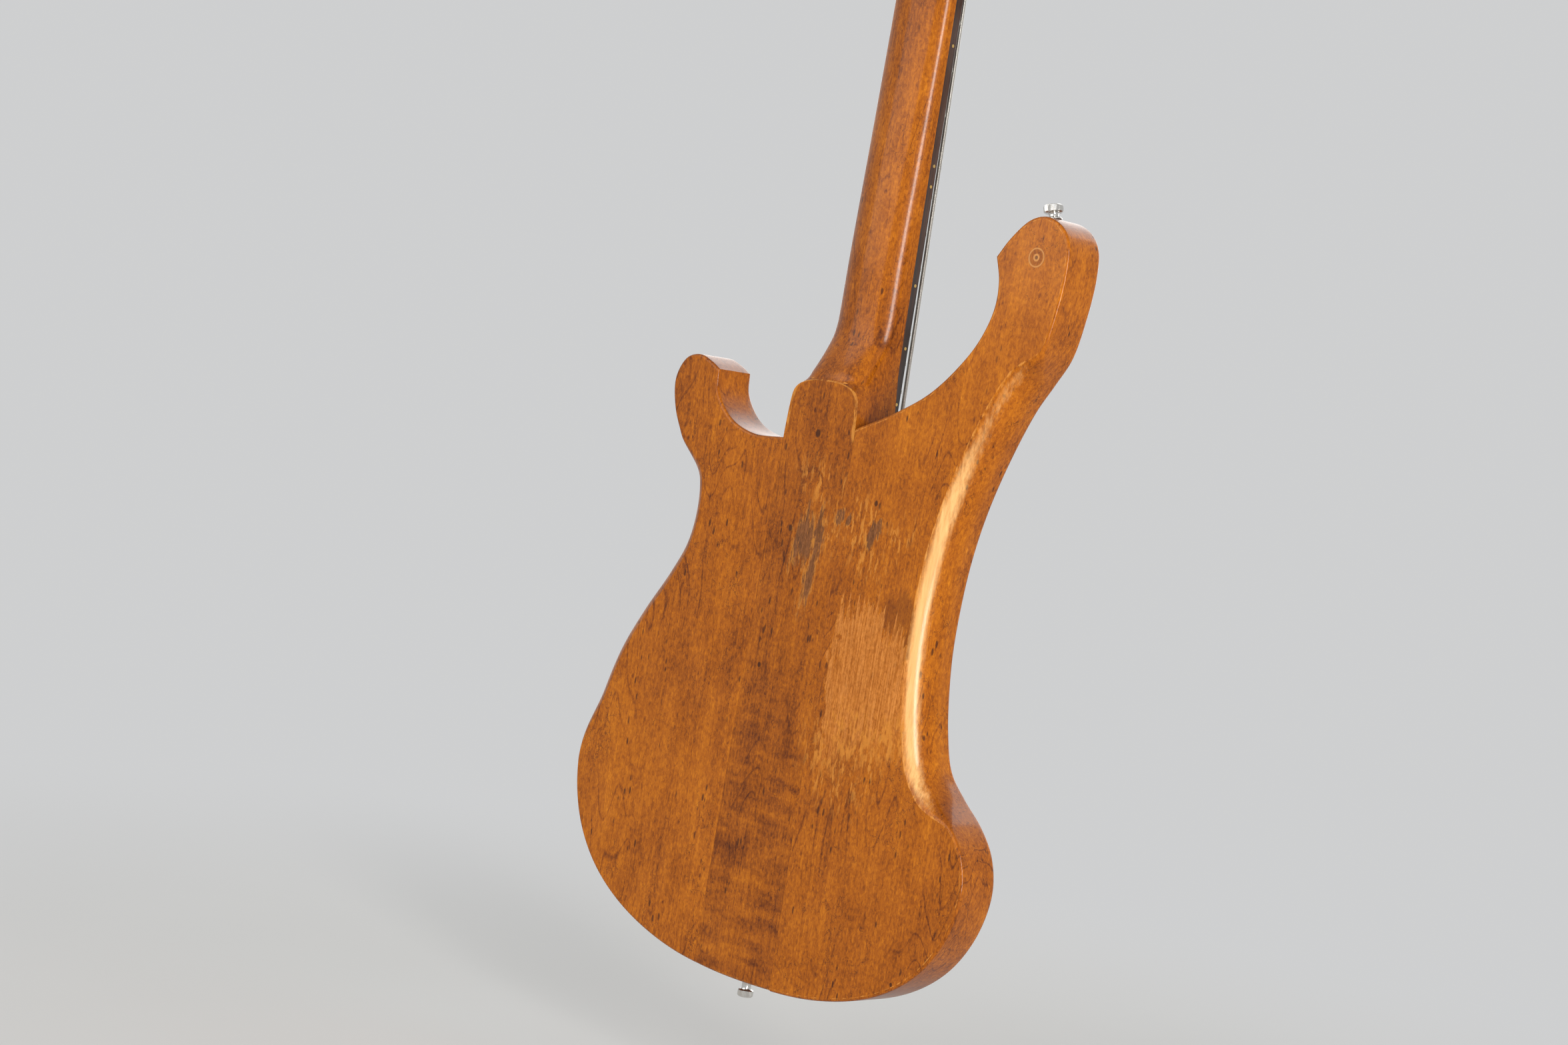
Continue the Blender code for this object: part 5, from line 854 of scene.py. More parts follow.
def rosewood(name):
    """Dark rosewood under worn lacquer: brown bands, black lines and open pores along z."""
    wood = Finish(name, 0.32, 0.0, 0.6, 0.16, 0.3)
    band = wood.noise((120.0, 120.0, 5.0), 3.0, 0.6, 0.4)
    line = wood.noise((620.0, 620.0, 14.0), 3.0, 0.6)
    pore = wood.noise((2300.0, 2300.0, 90.0), 2.0, 0.6).step(0.60, 0.72)
    wear = wood.noise((55.0, 55.0, 18.0), 3.0, 0.6)
    colour = wood.ramp(band * 0.55 + line * 0.45, [
        (0.30, (0.006, 0.003, 0.002)), (0.44, (0.020, 0.008, 0.004)),
        (0.56, (0.050, 0.018, 0.008)), (0.70, (0.095, 0.036, 0.014))])
    wood.give("Base Color", wood.blend(pore * 0.8, colour, (0.004, 0.002, 0.001)))
    wood.give("Roughness", 0.26 + wear * 0.26 + pore * 0.2)
    wood.give("Coat Weight", wear.step(0.72, 0.40) * 0.7)
    wood.relief(line * 0.3 - pore * 0.8, 0.00012, 0.5)
    return wood


BOARD_EASE = 0.0007
BOARD_BACK = -0.00403
stations = np.concatenate([[BOARD_END, BOARD_END + 0.0004],
                           np.linspace(BOARD_END + 0.004, -0.0046, 44), [-0.0004, -0.00005]])
shrink = np.zeros(len(stations))
shrink[0], shrink[-1] = 0.0004, 0.0002
half = (board_half(stations) - shrink)[:, None]
low_y = np.linspace(BOARD_BACK, -0.0095, 4) + 0.0 * half
inset, fall = rounding(BOARD_EASE, 7, True)
corner_x = half - inset
corner_y = camber(corner_x) + fall
face_x = (half - BOARD_EASE) * np.linspace(1.0, -1.0, 19)[1:-1]
board_x = np.concatenate([half + 0.0 * low_y, corner_x, face_x, -corner_x[:, ::-1],
                          -half + 0.0 * low_y], axis=1)
board_y = np.concatenate([low_y, corner_y, camber(face_x), corner_y[:, ::-1], low_y[:, ::-1]],
                         axis=1)
board_y = np.where(board_y < -0.0043, board_y + shrink[:, None], board_y)
solid_piece("fingerboard_wood", skin(grid(board_x, board_y, stations[:, None])),
            rosewood("rosewood"), 40.0, node="fingerboard")


def several(shapes):
    """Equal shapes, each a grid of rings along the array's first way, as one shape."""
    count, stride = len(shapes), shapes[0, ..., 0].size
    faces = skin(shapes[0])[1]
    return shapes, [[corner + stride * k for corner in face] for k in range(count)
                    for face in faces]


def discs(centres, across, upright, normal, radius, thick, lift, rings=5, sides=36):
    """Flat round inlays: centre + r (u cos a + v sin a) + n lift (1 - 0.6 (r / radius)^2).

    Each is a stack of rings: under the face at the full radius, level with it, and inwards.
    """
    a = circle(sides)
    radii = np.concatenate([[radius, radius], radius * np.linspace(0.985, 0.12, rings)])
    rise = np.concatenate([[-thick, 0.0], lift * (1.0 - (radii[2:] / radius) ** 2 * 0.6)])
    ring = (np.outer(radii, np.cos(a))[..., None] * across
            + np.outer(radii, np.sin(a))[..., None] * upright + rise[:, None, None] * normal)
    return np.asarray(centres)[:, None, None] + ring


def pearl(name):
    """Pearl-like plastic: pale cells of slightly differing tint under a soft gloss."""
    shell = Finish(name, 0.22, coat=0.4, specular=0.3)
    drift = shell.noise((140.0, 140.0, 70.0), 3.0, 0.6, 1.2)
    cell = shell.cells((420.0, 420.0, 260.0))
    shell.give("Base Color", shell.ramp(drift * 0.7 + cell * 0.3, [
        (0.25, (0.42, 0.40, 0.34)), (0.45, (0.62, 0.60, 0.53)), (0.62, (0.76, 0.74, 0.68)),
        (0.8, (0.55, 0.55, 0.52))]))
    shell.give("Roughness", 0.16 + drift * 0.2)
    return shell


def between_frets(number):
    """Middle of the space behind a fret, where a marker sits."""
    edges = np.concatenate([[0.0], FRET_HEIGHTS])
    return 0.5 * (edges[number] + edges[number - 1])


dot_x = np.array([0.0] * len(DOT_FRETS) + [-0.0110, 0.0110])
dot_z = between_frets(np.array([*DOT_FRETS, 12, 12]))
dots = discs(grid(dot_x, camber(dot_x), dot_z), np.array([1.0, 0.0, 0.0]),
             np.array([0.0, 0.0, 1.0]), np.array([0.0, -1.0, 0.0]), 0.0032, 0.0010, 0.00003)
dots[..., 1] += (dots[..., 0] ** 2 - (dot_x ** 2)[:, None, None]) / (2.0 * CAMBER)
solid_piece("face_dots", several(dots), pearl("dot_pearl"), 40.0, node=None)

dot_z[-2:] += (-0.0065, 0.0065)
taper = math.atan((END_WIDTH - NUT_WIDTH) * 0.5 / BOARD_END)
dots = discs(grid(-board_half(dot_z), -0.00735, dot_z), np.array([0.0, 1.0, 0.0]),
             np.array([-math.sin(taper), 0.0, math.cos(taper)]),
             np.array([-math.cos(taper), 0.0, -math.sin(taper)]), 0.00105, 0.0010, 0.00006)


def turned_metal(name, colour, roughness, tarnish=(0.20, 0.13, 0.06), spots=0.6):
    """Bare or plated metal with age on it: haze, fine scratches and darker pinhead spots."""
    metal = Finish(name, roughness, 1.0)
    haze = metal.noise((110.0, 110.0, 110.0), 4.0, 0.6)
    fine = metal.noise((1400.0, 1400.0, 420.0), 3.0, 0.6)
    pin = metal.cells((520.0, 520.0, 520.0)).step(0.20, 0.06)
    pin = pin * haze.step(0.46, 0.62)
    stain = (pin * spots + haze.step(0.42, 0.78) * 0.22 * spots).least(1.0)
    metal.give("Base Color", metal.blend(stain, colour, tarnish))
    metal.give("Roughness", roughness + (haze - 0.5) * 0.20 + (fine - 0.5) * 0.10 + pin * 0.25)
    metal.relief(fine * 0.4 + haze * 0.5 - pin, 0.00005, 0.35)
    return metal


gold = turned_metal("dot_gold", (0.78, 0.50, 0.16), 0.34)
solid_piece("side_dots", several(dots), gold, 40.0, node=None)


# The frets: twenty bars of nickel silver wire pressed into slots across the board, domed, and
# filed to a slope at both ends.
dome = np.linspace(0.0, math.pi, 11)
profile_z = np.concatenate([0.0012 * np.cos(dome), [-0.0010, 0.0010]])
profile_y = np.concatenate([-0.0011 * np.sin(dome) ** 0.85, [0.0004, 0.0004]])
reach = np.linspace(-1.0, 1.0, 31)
reach = np.sign(reach) * (1.0 - (1.0 - np.abs(reach)) ** 1.5)
fret_x = board_half(FRET_HEIGHTS)[:, None] * 0.9985 * reach[None]
slope = np.minimum(1.0, (board_half(FRET_HEIGHTS)[:, None] - np.abs(fret_x)) / 0.0011 + 0.12)
fret_y = camber(fret_x)[..., None] + np.where(profile_y < 0.0, slope[..., None], 1.0) * profile_y
frets = grid(fret_x[..., None], fret_y, FRET_HEIGHTS[:, None, None] + profile_z)
nickel_silver = turned_metal("fret_wire", (0.66, 0.64, 0.58), 0.24)
solid_piece("frets", several(frets), nickel_silver, 50.0, node=None)


# The nut: a block of bone at the end of the board, with a round-bottomed slot for each string.
STRING_RADII = {"e": 0.00134, "a": 0.00102, "d": 0.00083, "g": 0.00057}
NUT_BOTTOM = BOARD_CROWN - 0.0011 - 0.0003
NUT_BACK, NUT_TOP = 0.00005, 0.0055
NUT_SPREAD, BRIDGE_SPREAD = 0.0330, 0.0520


def string_x(number, z):
    """A string's distance from the centre line: all four fan out evenly towards the bridge."""
    return (number / 3.0 - 0.5) * (NUT_SPREAD + (BRIDGE_SPREAD - NUT_SPREAD) * (-z) / SCALE)


def bone(name):
    """Aged bone: ivory with faint brown pores and streaks, polished by hand."""
    ivory = Finish(name, 0.34, coat=0.15, specular=0.3)
    cloud = ivory.noise((160.0, 160.0, 160.0), 4.0, 0.6)
    pore = ivory.noise((900.0, 2600.0, 2600.0), 2.0, 0.6).step(0.62, 0.74)
    colour = ivory.ramp(cloud, [(0.3, (0.60, 0.50, 0.33)), (0.55, (0.72, 0.64, 0.47)),
                                (0.8, (0.80, 0.74, 0.60))])
    ivory.give("Base Color", ivory.blend(pore * 0.5, colour, (0.34, 0.22, 0.11)))
    ivory.give("Roughness", 0.28 + cloud * 0.2)
    ivory.relief(cloud * 0.4 - pore * 0.6, 0.00008, 0.4)
    return ivory


nut_half = board_half(0.0) - 0.0003
nut_x = nut_half * np.sin(np.linspace(-0.5 * math.pi, 0.5 * math.pi, 241))
nut_face = NUT_BOTTOM - 0.0016
nut_y = np.full(nut_x.shape, nut_face) + 0.0010 * (np.abs(nut_x) / nut_half) ** 14
for number, name in enumerate("eadg"):
    room = STRING_RADII[name] + 0.0002
    off = np.abs(nut_x - string_x(number, 0.0))
    bottom = NUT_BOTTOM - STRING_RADII[name] + np.sqrt(np.maximum(0.0, room ** 2 - off ** 2))
    nut_y = np.where(off < room, np.maximum(nut_y, bottom), nut_y)
inset, fall = rounding(0.0006, 5, True)
nut_z = np.concatenate([[NUT_BACK] * 2, NUT_BACK + inset, NUT_TOP - inset[::-1], [NUT_TOP] * 2])
low = np.array([1.0, 0.5] + [0.0] * 10 + [0.5, 1.0])
drop = np.concatenate([[0.0, 0.0], fall, fall[::-1], [0.0, 0.0]])
nut = grid(nut_x[:, None], nut_y[:, None] * (1.0 - low) + BOARD_BACK * low + drop, nut_z)
solid_piece("nut_bone", skin(nut), bone("bone"), 35.0, node="nut")


# The truss rods: two steel rods in channels under the board, with a nut each in the pocket at
# the nut, and the white cover over the pocket, held by three small screws.
def plate_rows(outline, insets, depths, way="y"):
    """Rows of a plate: its closed outline moved inwards along the bisectors, level by level.

    The outline is in x and z and the levels along y, or for the way x in z and y, along x.
    The way inwards is turned by a quarter from the sum of a point's two chords, and its length
    is inset / cos(half the angle between them).
    """
    ahead = np.roll(outline, -1, axis=0) - outline
    ahead = ahead / np.linalg.norm(ahead, axis=1)[:, None]
    along = ahead + np.roll(ahead, 1, axis=0)
    along = along / np.linalg.norm(along, axis=1)[:, None]
    area = np.sum(outline[:, 0] * np.roll(outline[:, 1], -1)
                  - np.roll(outline[:, 0], -1) * outline[:, 1])
    inward = math.copysign(1.0, area) * np.stack([-along[:, 1], along[:, 0]], -1)
    bend = np.sqrt(np.maximum(0.3, 0.5 + 0.5 * np.sum(ahead * np.roll(ahead, 1, axis=0), 1)))
    flat = outline[None] + inward[None] * (np.asarray(insets)[:, None] / bend)[..., None]
    rows = grid(flat[..., 0], np.asarray(depths)[:, None], flat[..., 1])
    return rows[..., [1, 2, 0]] if way == "x" else rows


def eased_corners(corners, radius, steps=6):
    """A closed line with rounded corners; two opposite corners stand for an upright rectangle.

    Between points a radius before and after a corner: (1-t)^2 before + 2t(1-t) corner + t^2 after.
    """
    if len(corners) == 2:
        (left, low), (right, high) = corners
        corners = [(left, low), (right, low), (right, high), (left, high)]
    corners = np.asarray(corners, float)
    before, after = np.roll(corners, 1, axis=0) - corners, np.roll(corners, -1, axis=0) - corners
    lengths = [np.linalg.norm(way, axis=1)[:, None] for way in (before, after)]
    radius = np.broadcast_to(np.asarray(radius, float), (len(corners),))[:, None]
    first = corners + before / lengths[0] * np.minimum(radius, 0.48 * lengths[0])
    last = corners + after / lengths[1] * np.minimum(radius, 0.48 * lengths[1])
    t = np.linspace(0.0, 1.0, steps)[None, :, None]
    curve = ((1 - t) ** 2 * first[:, None] + 2 * t * (1 - t) * corners[:, None]
             + t ** 2 * last[:, None])
    return curve.reshape(-1, 2)


def hoop(rows):
    """A shape from rows of points that are rings, where the last row meets the first."""
    count = rows[..., 0].size
    faces = skin(np.concatenate([rows, rows[:1]]))[1][:-2]
    return rows, (np.array(faces) % count).tolist()


def joined(*shapes):
    """Several shapes' points and faces as one."""
    points, faces, count = [], [], 0
    for some, theirs in shapes:
        some = np.asarray(some, float).reshape(-1, 3)
        theirs = outward(some, theirs)
        faces += [[corner + count for corner in face] for face in theirs]
        points.append(some)
        count += len(some)
    return np.concatenate(points), faces


def turned_shape(profile, sides, centre, axis="Y", hollow=False):
    """A profile of (radius, height) revolved: centre + height axis + radius (u cos a + v sin a).

    A hollow one's profile is closed, so that its last row meets its first.
    """
    profile = np.asarray(profile, float)
    u, v, along = {"X": np.eye(3)[[1, 2, 0]], "Y": np.eye(3)[[2, 0, 1]], "Z": np.eye(3)}[axis]
    a = circle(sides)
    ring = np.cos(a)[:, None] * u + np.sin(a)[:, None] * v
    points = (np.asarray(centre) + profile[:, 1][:, None, None] * along
              + profile[:, 0][:, None, None] * ring[None])
    return hoop(points) if hollow else skin(points)


def screws(name, places, radius, proud=0.0009, normal=-1.0, slot=0.0, laid=None):
    """A piece of oval screw heads at places, facing along y, each with a cross or a slot.

    A point of the head at (r, a) stands proud * (1 - (r / radius)^2) out, less the recess where
    it lies within the bars of the driver's mark.
    """
    sides, rings = 40, 9
    a = circle(sides)
    r = radius * np.concatenate([[1.0, 1.0], np.linspace(0.97, 0.06, rings)])
    dome = proud * (1.0 - 0.75 * (r / radius) ** 2)
    dome[0], dome[1] = -0.0006, 0.00008
    x, z = np.outer(r, np.cos(a)), np.outer(r, np.sin(a))
    wide = 0.13 * radius
    bar = np.maximum(0.0, 1.0 - (np.abs(x) / wide) ** 4) * (np.abs(z) < 0.72 * radius + slot)
    if not slot:
        other = np.maximum(0.0, 1.0 - (np.abs(z) / wide) ** 4) * (np.abs(x) < 0.72 * radius)
        bar = np.maximum(bar, other)
    bar[:2] = 0.0
    height = dome[:, None] - 0.42 * radius * bar
    turns = (np.arange(len(places)) * 1.9)[:, None, None]
    heads = grid(x * np.cos(turns) - z * np.sin(turns), normal * height,
                 x * np.sin(turns) + z * np.cos(turns)) + np.asarray(places)[:, None, None]
    solid_piece(name, several(laid(heads) if laid else heads), small_nickel, 40.0,
                node=None)


def plastic(name, colour, deep, roughness, worn=0.5):
    """Gloss plastic that has yellowed unevenly and carries fine scratches and dust."""
    sheet = Finish(name, roughness, 0.0, 0.25, 0.08, 0.3)
    cloud = sheet.noise((26.0, 26.0, 26.0), 4.0, 0.6)
    scratch = sheet.noise((1500.0, 1500.0, 26.0), 2.0, 0.6, turn=(0.0, -0.8, 0.0))
    scratch = scratch.step(0.62, 0.70)
    sheet.shift = (0.1, 0.2, 0.3)
    fine = sheet.noise((950.0, 950.0, 130.0), 3.0, 0.7, turn=(0.0, 0.6, 0.0))
    sheet.give("Base Color", sheet.blend(cloud.step(0.30, 0.85) * 0.45 + fine * 0.1, colour, deep))
    sheet.give("Roughness", roughness + (cloud - 0.5) * 0.14 + scratch * 0.20 * worn
               + (fine - 0.5) * 0.08)
    sheet.relief(fine * 0.3 + cloud * 0.5 - scratch * worn, 0.00005, 0.35)
    return sheet


rod_steel = turned_metal("rod_steel", (0.42, 0.42, 0.43), 0.42, (0.14, 0.09, 0.05), 0.8)
small_nickel = turned_metal("screw_nickel", (0.66, 0.63, 0.56), 0.28)
white = plastic("white_plastic", (0.80, 0.77, 0.67), (0.70, 0.65, 0.50), 0.24)
for name, x in (("bass", -0.0060), ("treble", 0.0060)):
    rod = turned_shape([(0.0003, -0.5297), (0.0024, -0.5297), (0.0024, 0.0200), (0.0003, 0.0200)],
                       24, (x, 0.0011, 0.0), "Z")
    rod_nut = turned_shape([(0.0024, 0.0106), (0.00335, 0.0109), (0.00335, 0.0183),
                            (0.0026, 0.0190), (0.0024, 0.0190)], 6, (x, 0.0011, 0.0), "Z")
    solid_piece("truss_rod_" + name, joined(rod, rod_nut), rod_steel, 30.0)

cover_outline = eased_corners([(-0.0148, 0.0024), (0.0148, 0.0024), (0.0148, 0.0238),
                               (0.0108, 0.0377), (0.0, 0.0516), (-0.0108, 0.0377),
                               (-0.0148, 0.0238)],
                              [0.0012, 0.0012, 0.006, 0.009, 0.005, 0.009, 0.006])
inset, fall = rounding(0.0006, 5, True)
cover = plate_rows(cover_outline, [0.0, 0.0, *inset], [-0.00005, -0.0008, *(fall - 0.0021)])
solid_piece("truss_cover", skin(head_to_world(cover)), white, 35.0)
screws("truss_cover_screws", [(-0.0112, -0.0021, 0.0060), (0.0112, -0.0021, 0.0060),
                              (0.0, -0.0021, 0.0462)], 0.0017, laid=head_to_world)


# The tuners: open worm-gear machines. On each a stamped nickel plate with two ears is screwed to
# the head's back; the key's worm runs between the ears and turns a brass wheel riveted to the
# post, which comes out in front through a pressed bushing.
PITCH_RADIUS = 0.0090
WORM_RADIUS = 0.0040
TEETH = 20
PITCH = 2.0 * math.pi * PITCH_RADIUS / TEETH
ADDENDUM, DEDENDUM = 0.0008, 0.0011
FLANK = math.tan(math.radians(20.0))
HALF_TOOTH = PITCH / 4.0 - 0.000135
KEY_LIFT = 0.0072
KEY_DROP = PITCH_RADIUS + WORM_RADIUS
EAR_LOW = -KEY_DROP - 0.0050
TURNS = 2.25
POST_RADIUS = 0.0050
HOOK_REACH = 0.0044


def on_head(shape):
    """A shape laid on the tilted head."""
    return head_to_world(shape[0]), shape[1]


def post_lead(name):
    """Where a string meets its post, the way it winds, and the angle of the post's slot."""
    number = "eadg".index(name)
    x, z = POSTS[name]
    radius = STRING_RADII[name]
    way = -math.copysign(1.0, x)
    coil = POST_RADIUS + 0.0003 + radius
    nut_exit = np.array([string_x(number, 0.0), NUT_BOTTOM - radius, NUT_TOP]) - HEAD_ORIGIN
    c, s = math.cos(HEAD_TILT), math.sin(HEAD_TILT)
    nut_exit = np.array([nut_exit[0], c * nut_exit[1] - s * nut_exit[2],
                         s * nut_exit[1] + c * nut_exit[2]])
    gap_x, gap_z = x - nut_exit[0], z - nut_exit[2]
    start = (math.atan2(gap_z, gap_x) - way * math.asin(coil / math.hypot(gap_x, gap_z))
             - way * 0.5 * math.pi)
    bend = radius + 0.00126
    lead = math.atan2(bend, HOOK_REACH + bend)
    return nut_exit, way, coil, bend, start, start + way * (2.0 * math.pi * TURNS + lead)


def wheel_shape(x, z, middle):
    """A skewed gear: tooth flanks at 20 degrees, rounded at tip and root, with a hub."""
    root, tip = PITCH_RADIUS - DEDENDUM, PITCH_RADIUS + ADDENDUM
    flank = np.array([root, root + 0.0003, PITCH_RADIUS, tip - 0.0002, tip])
    half = HALF_TOOTH - (flank - PITCH_RADIUS) * FLANK + (0.00010, 0.0, 0.0, 0.0, -0.00018)
    way = np.concatenate([-half / flank, (half / flank)[::-1]])
    tooth = 2.0 * math.pi * np.arange(TEETH)[:, None] / TEETH
    level = np.linspace(-0.0020, 0.0020, 9)[:, None]
    slope = PITCH / (2.0 * math.pi * WORM_RADIUS) / PITCH_RADIUS
    angle = math.pi + (tooth + way).reshape(-1) + level * slope
    radius = np.tile([*flank, *flank[::-1]], TEETH) - 0.0003 * (np.abs(level) > 0.0019)
    body = grid(x + radius * np.sin(angle), middle + level, z + radius * np.cos(angle))
    hub_out = turned_shape([(0.0058, -0.0019), (0.0058, -0.00205), (0.0034, -0.00205),
                            (0.0034, -0.0019)], 40, (x, middle, z))
    hub_in = turned_shape([(0.0034, 0.0019), (0.0034, 0.00225), (0.0048, 0.00225),
                           (0.0054, 0.0019)], 40, (x, middle, z))
    return joined(skin(body), hub_out, hub_in)


def key_shape(name):
    """A key: shaft, collars, a helical worm and the paddle.

    The worm's radius at (place, angle) is a rounded tooth of the phase place / pitch minus the
    turn; the rest is a row of ellipses along the shaft with smooth half axes.
    """
    x, z = POSTS[name]
    side = math.copysign(1.0, x)
    root, depth = WORM_RADIUS - DEDENDUM, ADDENDUM + DEDENDUM
    crest_half = (HALF_TOOTH - ADDENDUM * FLANK) / PITCH
    root_half = (HALF_TOOTH + DEDENDUM * FLANK) / PITCH
    a = circle(48)
    reach = 2.0 * PITCH
    place = np.linspace(-reach, reach, 97)[:, None]
    phase = (side * place / PITCH - (a - 0.5 * math.pi) / (2.0 * math.pi) + 0.5) % 1.0
    tooth = (root_half - np.minimum(phase, 1.0 - phase)) / (root_half - crest_half)
    fade = eased((reach - np.abs(place)) / 0.0012)
    worm = root + depth * np.clip(tooth, 0.0, 1.0) * fade
    shaft, collar, ring, foot = 0.0026, 0.0092, 0.0040, 0.0195
    near = np.array([(-0.0121, 0.0020), (-0.0118, shaft), (-collar, shaft), (-collar, 0.0038),
                     (-collar + 0.0002, ring), (-collar + 0.0009, ring),
                     (-collar + 0.0011, 0.0038)])
    far = np.array([*(near[:1:-1] * (-1.0, 1.0)), (0.0118, shaft), (0.0120, 0.0030),
                    (0.0126, 0.0030), (0.0128, shaft), (0.0188, shaft), (0.0191, 0.0034),
                    (foot, 0.0040)])
    share = np.linspace(0.02, 1.0, 26)
    flat = np.interp(share, (0.0, 0.17, 0.43, 0.70, 0.89, 1.0),
                     (0.0040, 0.0036, 0.0035, 0.0034, 0.0028, 0.0010))
    tall = np.interp(share, (0.0, 0.04, 0.17, 0.30, 0.43, 0.57, 0.70, 0.80, 0.89, 0.95, 1.0),
                     (0.0042, 0.0056, 0.0098, 0.0122, 0.0135, 0.0136, 0.0128, 0.0110, 0.0085,
                      0.0060, 0.0022))
    places = np.concatenate([near[:, 0], place[:, 0], far[:, 0], foot + (0.0425 - foot) * share])
    wide, high = (np.concatenate([near[:, 1:] + 0.0 * a, worm, far[:, 1:] + 0.0 * a,
                                  paddle[:, None] + 0.0 * a]) for paddle in (flat, tall))
    return skin(grid(x + side * places[:, None], HEAD_THICKNESS + KEY_LIFT + wide * np.cos(a),
                     z - KEY_DROP + high * np.sin(a)))


nickel = turned_metal("tuner_nickel", (0.64, 0.61, 0.54), 0.26, (0.22, 0.16, 0.09), 0.8)
wheel_brass = turned_metal("wheel_brass", (0.58, 0.42, 0.17), 0.32, (0.18, 0.10, 0.04), 0.9)
for name, (x, z) in POSTS.items():
    base = HEAD_THICKNESS
    gear_y = base + KEY_LIFT
    foot = eased_corners([(x - 0.0110, z + EAR_LOW), (x + 0.0110, z + 0.0120)], 0.0034, 8)
    plate = plate_rows(foot, [0.0, 0.0, 0.00012, 0.0005],
                       base + np.array([0.00004, 0.0013, 0.0016, 0.0018]))
    near, far = z + EAR_LOW + 0.0001, z + EAR_LOW + 0.0099
    ear_line = eased_corners([(near, base + 0.0010), (near, base + 0.0118), (far, base + 0.0118),
                              (far, base + 0.0010)], [0.0003, 0.0044, 0.0044, 0.0003], 9)
    ears = [plate_rows(ear_line, [0.0002, 0.0, 0.0, 0.0002],
                       x + side * np.array([0.0096, 0.0097, 0.0109, 0.0110]), "x")
            for side in (-1.0, 1.0)]
    plate_piece = solid_piece("tuner_plate_" + name,
                              on_head(joined(skin(plate), *map(skin, ears))), nickel)
    shaft_run = head_to_world(grid(np.array([x - 0.02, x + 0.02]), gear_y, z - KEY_DROP))
    bore_run = head_to_world(grid(x, np.array([base - 0.001, base + 0.004]), z))
    routed(plate_piece, drill(*shaft_run, 0.0028), drill(*bore_run, 0.0055), crossing=True)
    screws("plate_screws_" + name,
           [(x + dx, base + 0.0018, z + dz) for dx, dz in
            ((-0.0080, 0.0093), (0.0080, 0.0093), (0.0, EAR_LOW + 0.0028))],
           0.0018, normal=1.0, laid=head_to_world)

    bushing = turned_shape([
        (0.00545, -0.0016), (0.0056, -0.0017), (0.0070, -0.0017), (0.0076, -0.0014),
        (0.0079, -0.0008), (0.0079, -0.00004), (0.0063, -0.00004), (0.0063, 0.0146),
        (0.00545, 0.0146)], 64, (x, 0.0, z), hollow=True)
    solid_piece("tuner_bushing_" + name, on_head(bushing), nickel, 35.0)

    slot_angle = post_lead(name)[-1]
    low = gear_y - 0.0020
    post = turned_shape([
        (0.0004, -0.0179), (0.0041, -0.0180), (0.0047, -0.0178), (0.0050, -0.0173),
        (0.0050, -0.0131), (0.00485, -0.0124), (0.0048, -0.0090), (0.00485, -0.0046),
        (0.0050, -0.0038), (0.0050, low - 0.0003), (0.0032, low - 0.0003), (0.0032, low + 0.0043),
        (0.0046, low + 0.0043), (0.0046, low + 0.0048), (0.0038, low + 0.0054),
        (0.0004, low + 0.0055)], 64, (x, 0.0, z))
    post_piece = solid_piece("tuner_post_" + name, on_head(post), nickel, 30.0,
                             "post_" + name)
    c, s = math.cos(slot_angle), math.sin(slot_angle)
    slot = np.array([(x + 0.008 * a * c - 0.0017 * b * s, level, z + 0.008 * a * s + 0.0017 * b * c)
                     for level in (-0.0190, -0.0102)
                     for a, b in ((-1, -1), (1, -1), (1, 1), (-1, 1))])
    routed(post_piece, skin(head_to_world(slot).reshape(2, 4, 3)))

    solid_piece("tuner_wheel_" + name, on_head(wheel_shape(x, z, gear_y)), wheel_brass,
                body="post_" + name)
    solid_piece("tuner_key_" + name, on_head(key_shape(name)), nickel,
                body="key_" + name)


# The strings: steel cores under round steel wire, each from a brass ball in the tailpiece, over
# its saddle and through the nut, with two and a quarter turns down its post.
SADDLE_BACK = {"e": 0.0030, "a": 0.0020, "d": 0.0012, "g": 0.0004}
SADDLE_BOTTOM = NUT_BOTTOM - 2.0 * (0.0024 - 0.0003)
ANCHOR = -0.8960
ANCHOR_Y = -0.0142
WIND_FIRST, WIND_LAST = -0.0036, -0.0120


def tube(path, radius, sides=14):
    """A round tube: at each point a ring in the plane of two axes carried along the path.

    The first axis is turned from ring to ring only by the part that the path's way takes away.
    """
    way = np.gradient(path, axis=0)
    way /= np.linalg.norm(way, axis=1)[:, None]
    first = np.empty_like(path)
    across = np.cross(way[0], (0.0, 1.0, 0.3))
    for k, ahead in enumerate(way):
        across = across - ahead * (across @ ahead)
        across = across / np.linalg.norm(across)
        first[k] = across
    second = np.cross(way, first)
    a = circle(sides)[:, None]
    return path[:, None] + radius * (first[:, None] * np.cos(a) + second[:, None] * np.sin(a))


def wound_wire(name, pitch):
    """Round-wound steel: the mark "run" is the length along the string, so wraps cross it."""
    wire = Finish(name, 0.34, 1.0)
    run = wire.mark("run")
    wrap = wire.node("ShaderNodeMath", {"operation": "SINE"}, {0: run * (2.0 * math.pi / pitch)})
    dull = wire.noise((70.0, 70.0, 26.0), 3.0, 0.6)
    wire.give("Base Color", wire.blend((0.5 - wrap * 0.5) * 0.45 + dull.step(0.4, 0.8) * 0.4,
                                       (0.62, 0.60, 0.56), (0.20, 0.17, 0.13)))
    wire.give("Roughness", 0.30 + dull * 0.18 - wrap * 0.05)
    wire.relief(wrap, 0.00008, 0.8)
    return wire


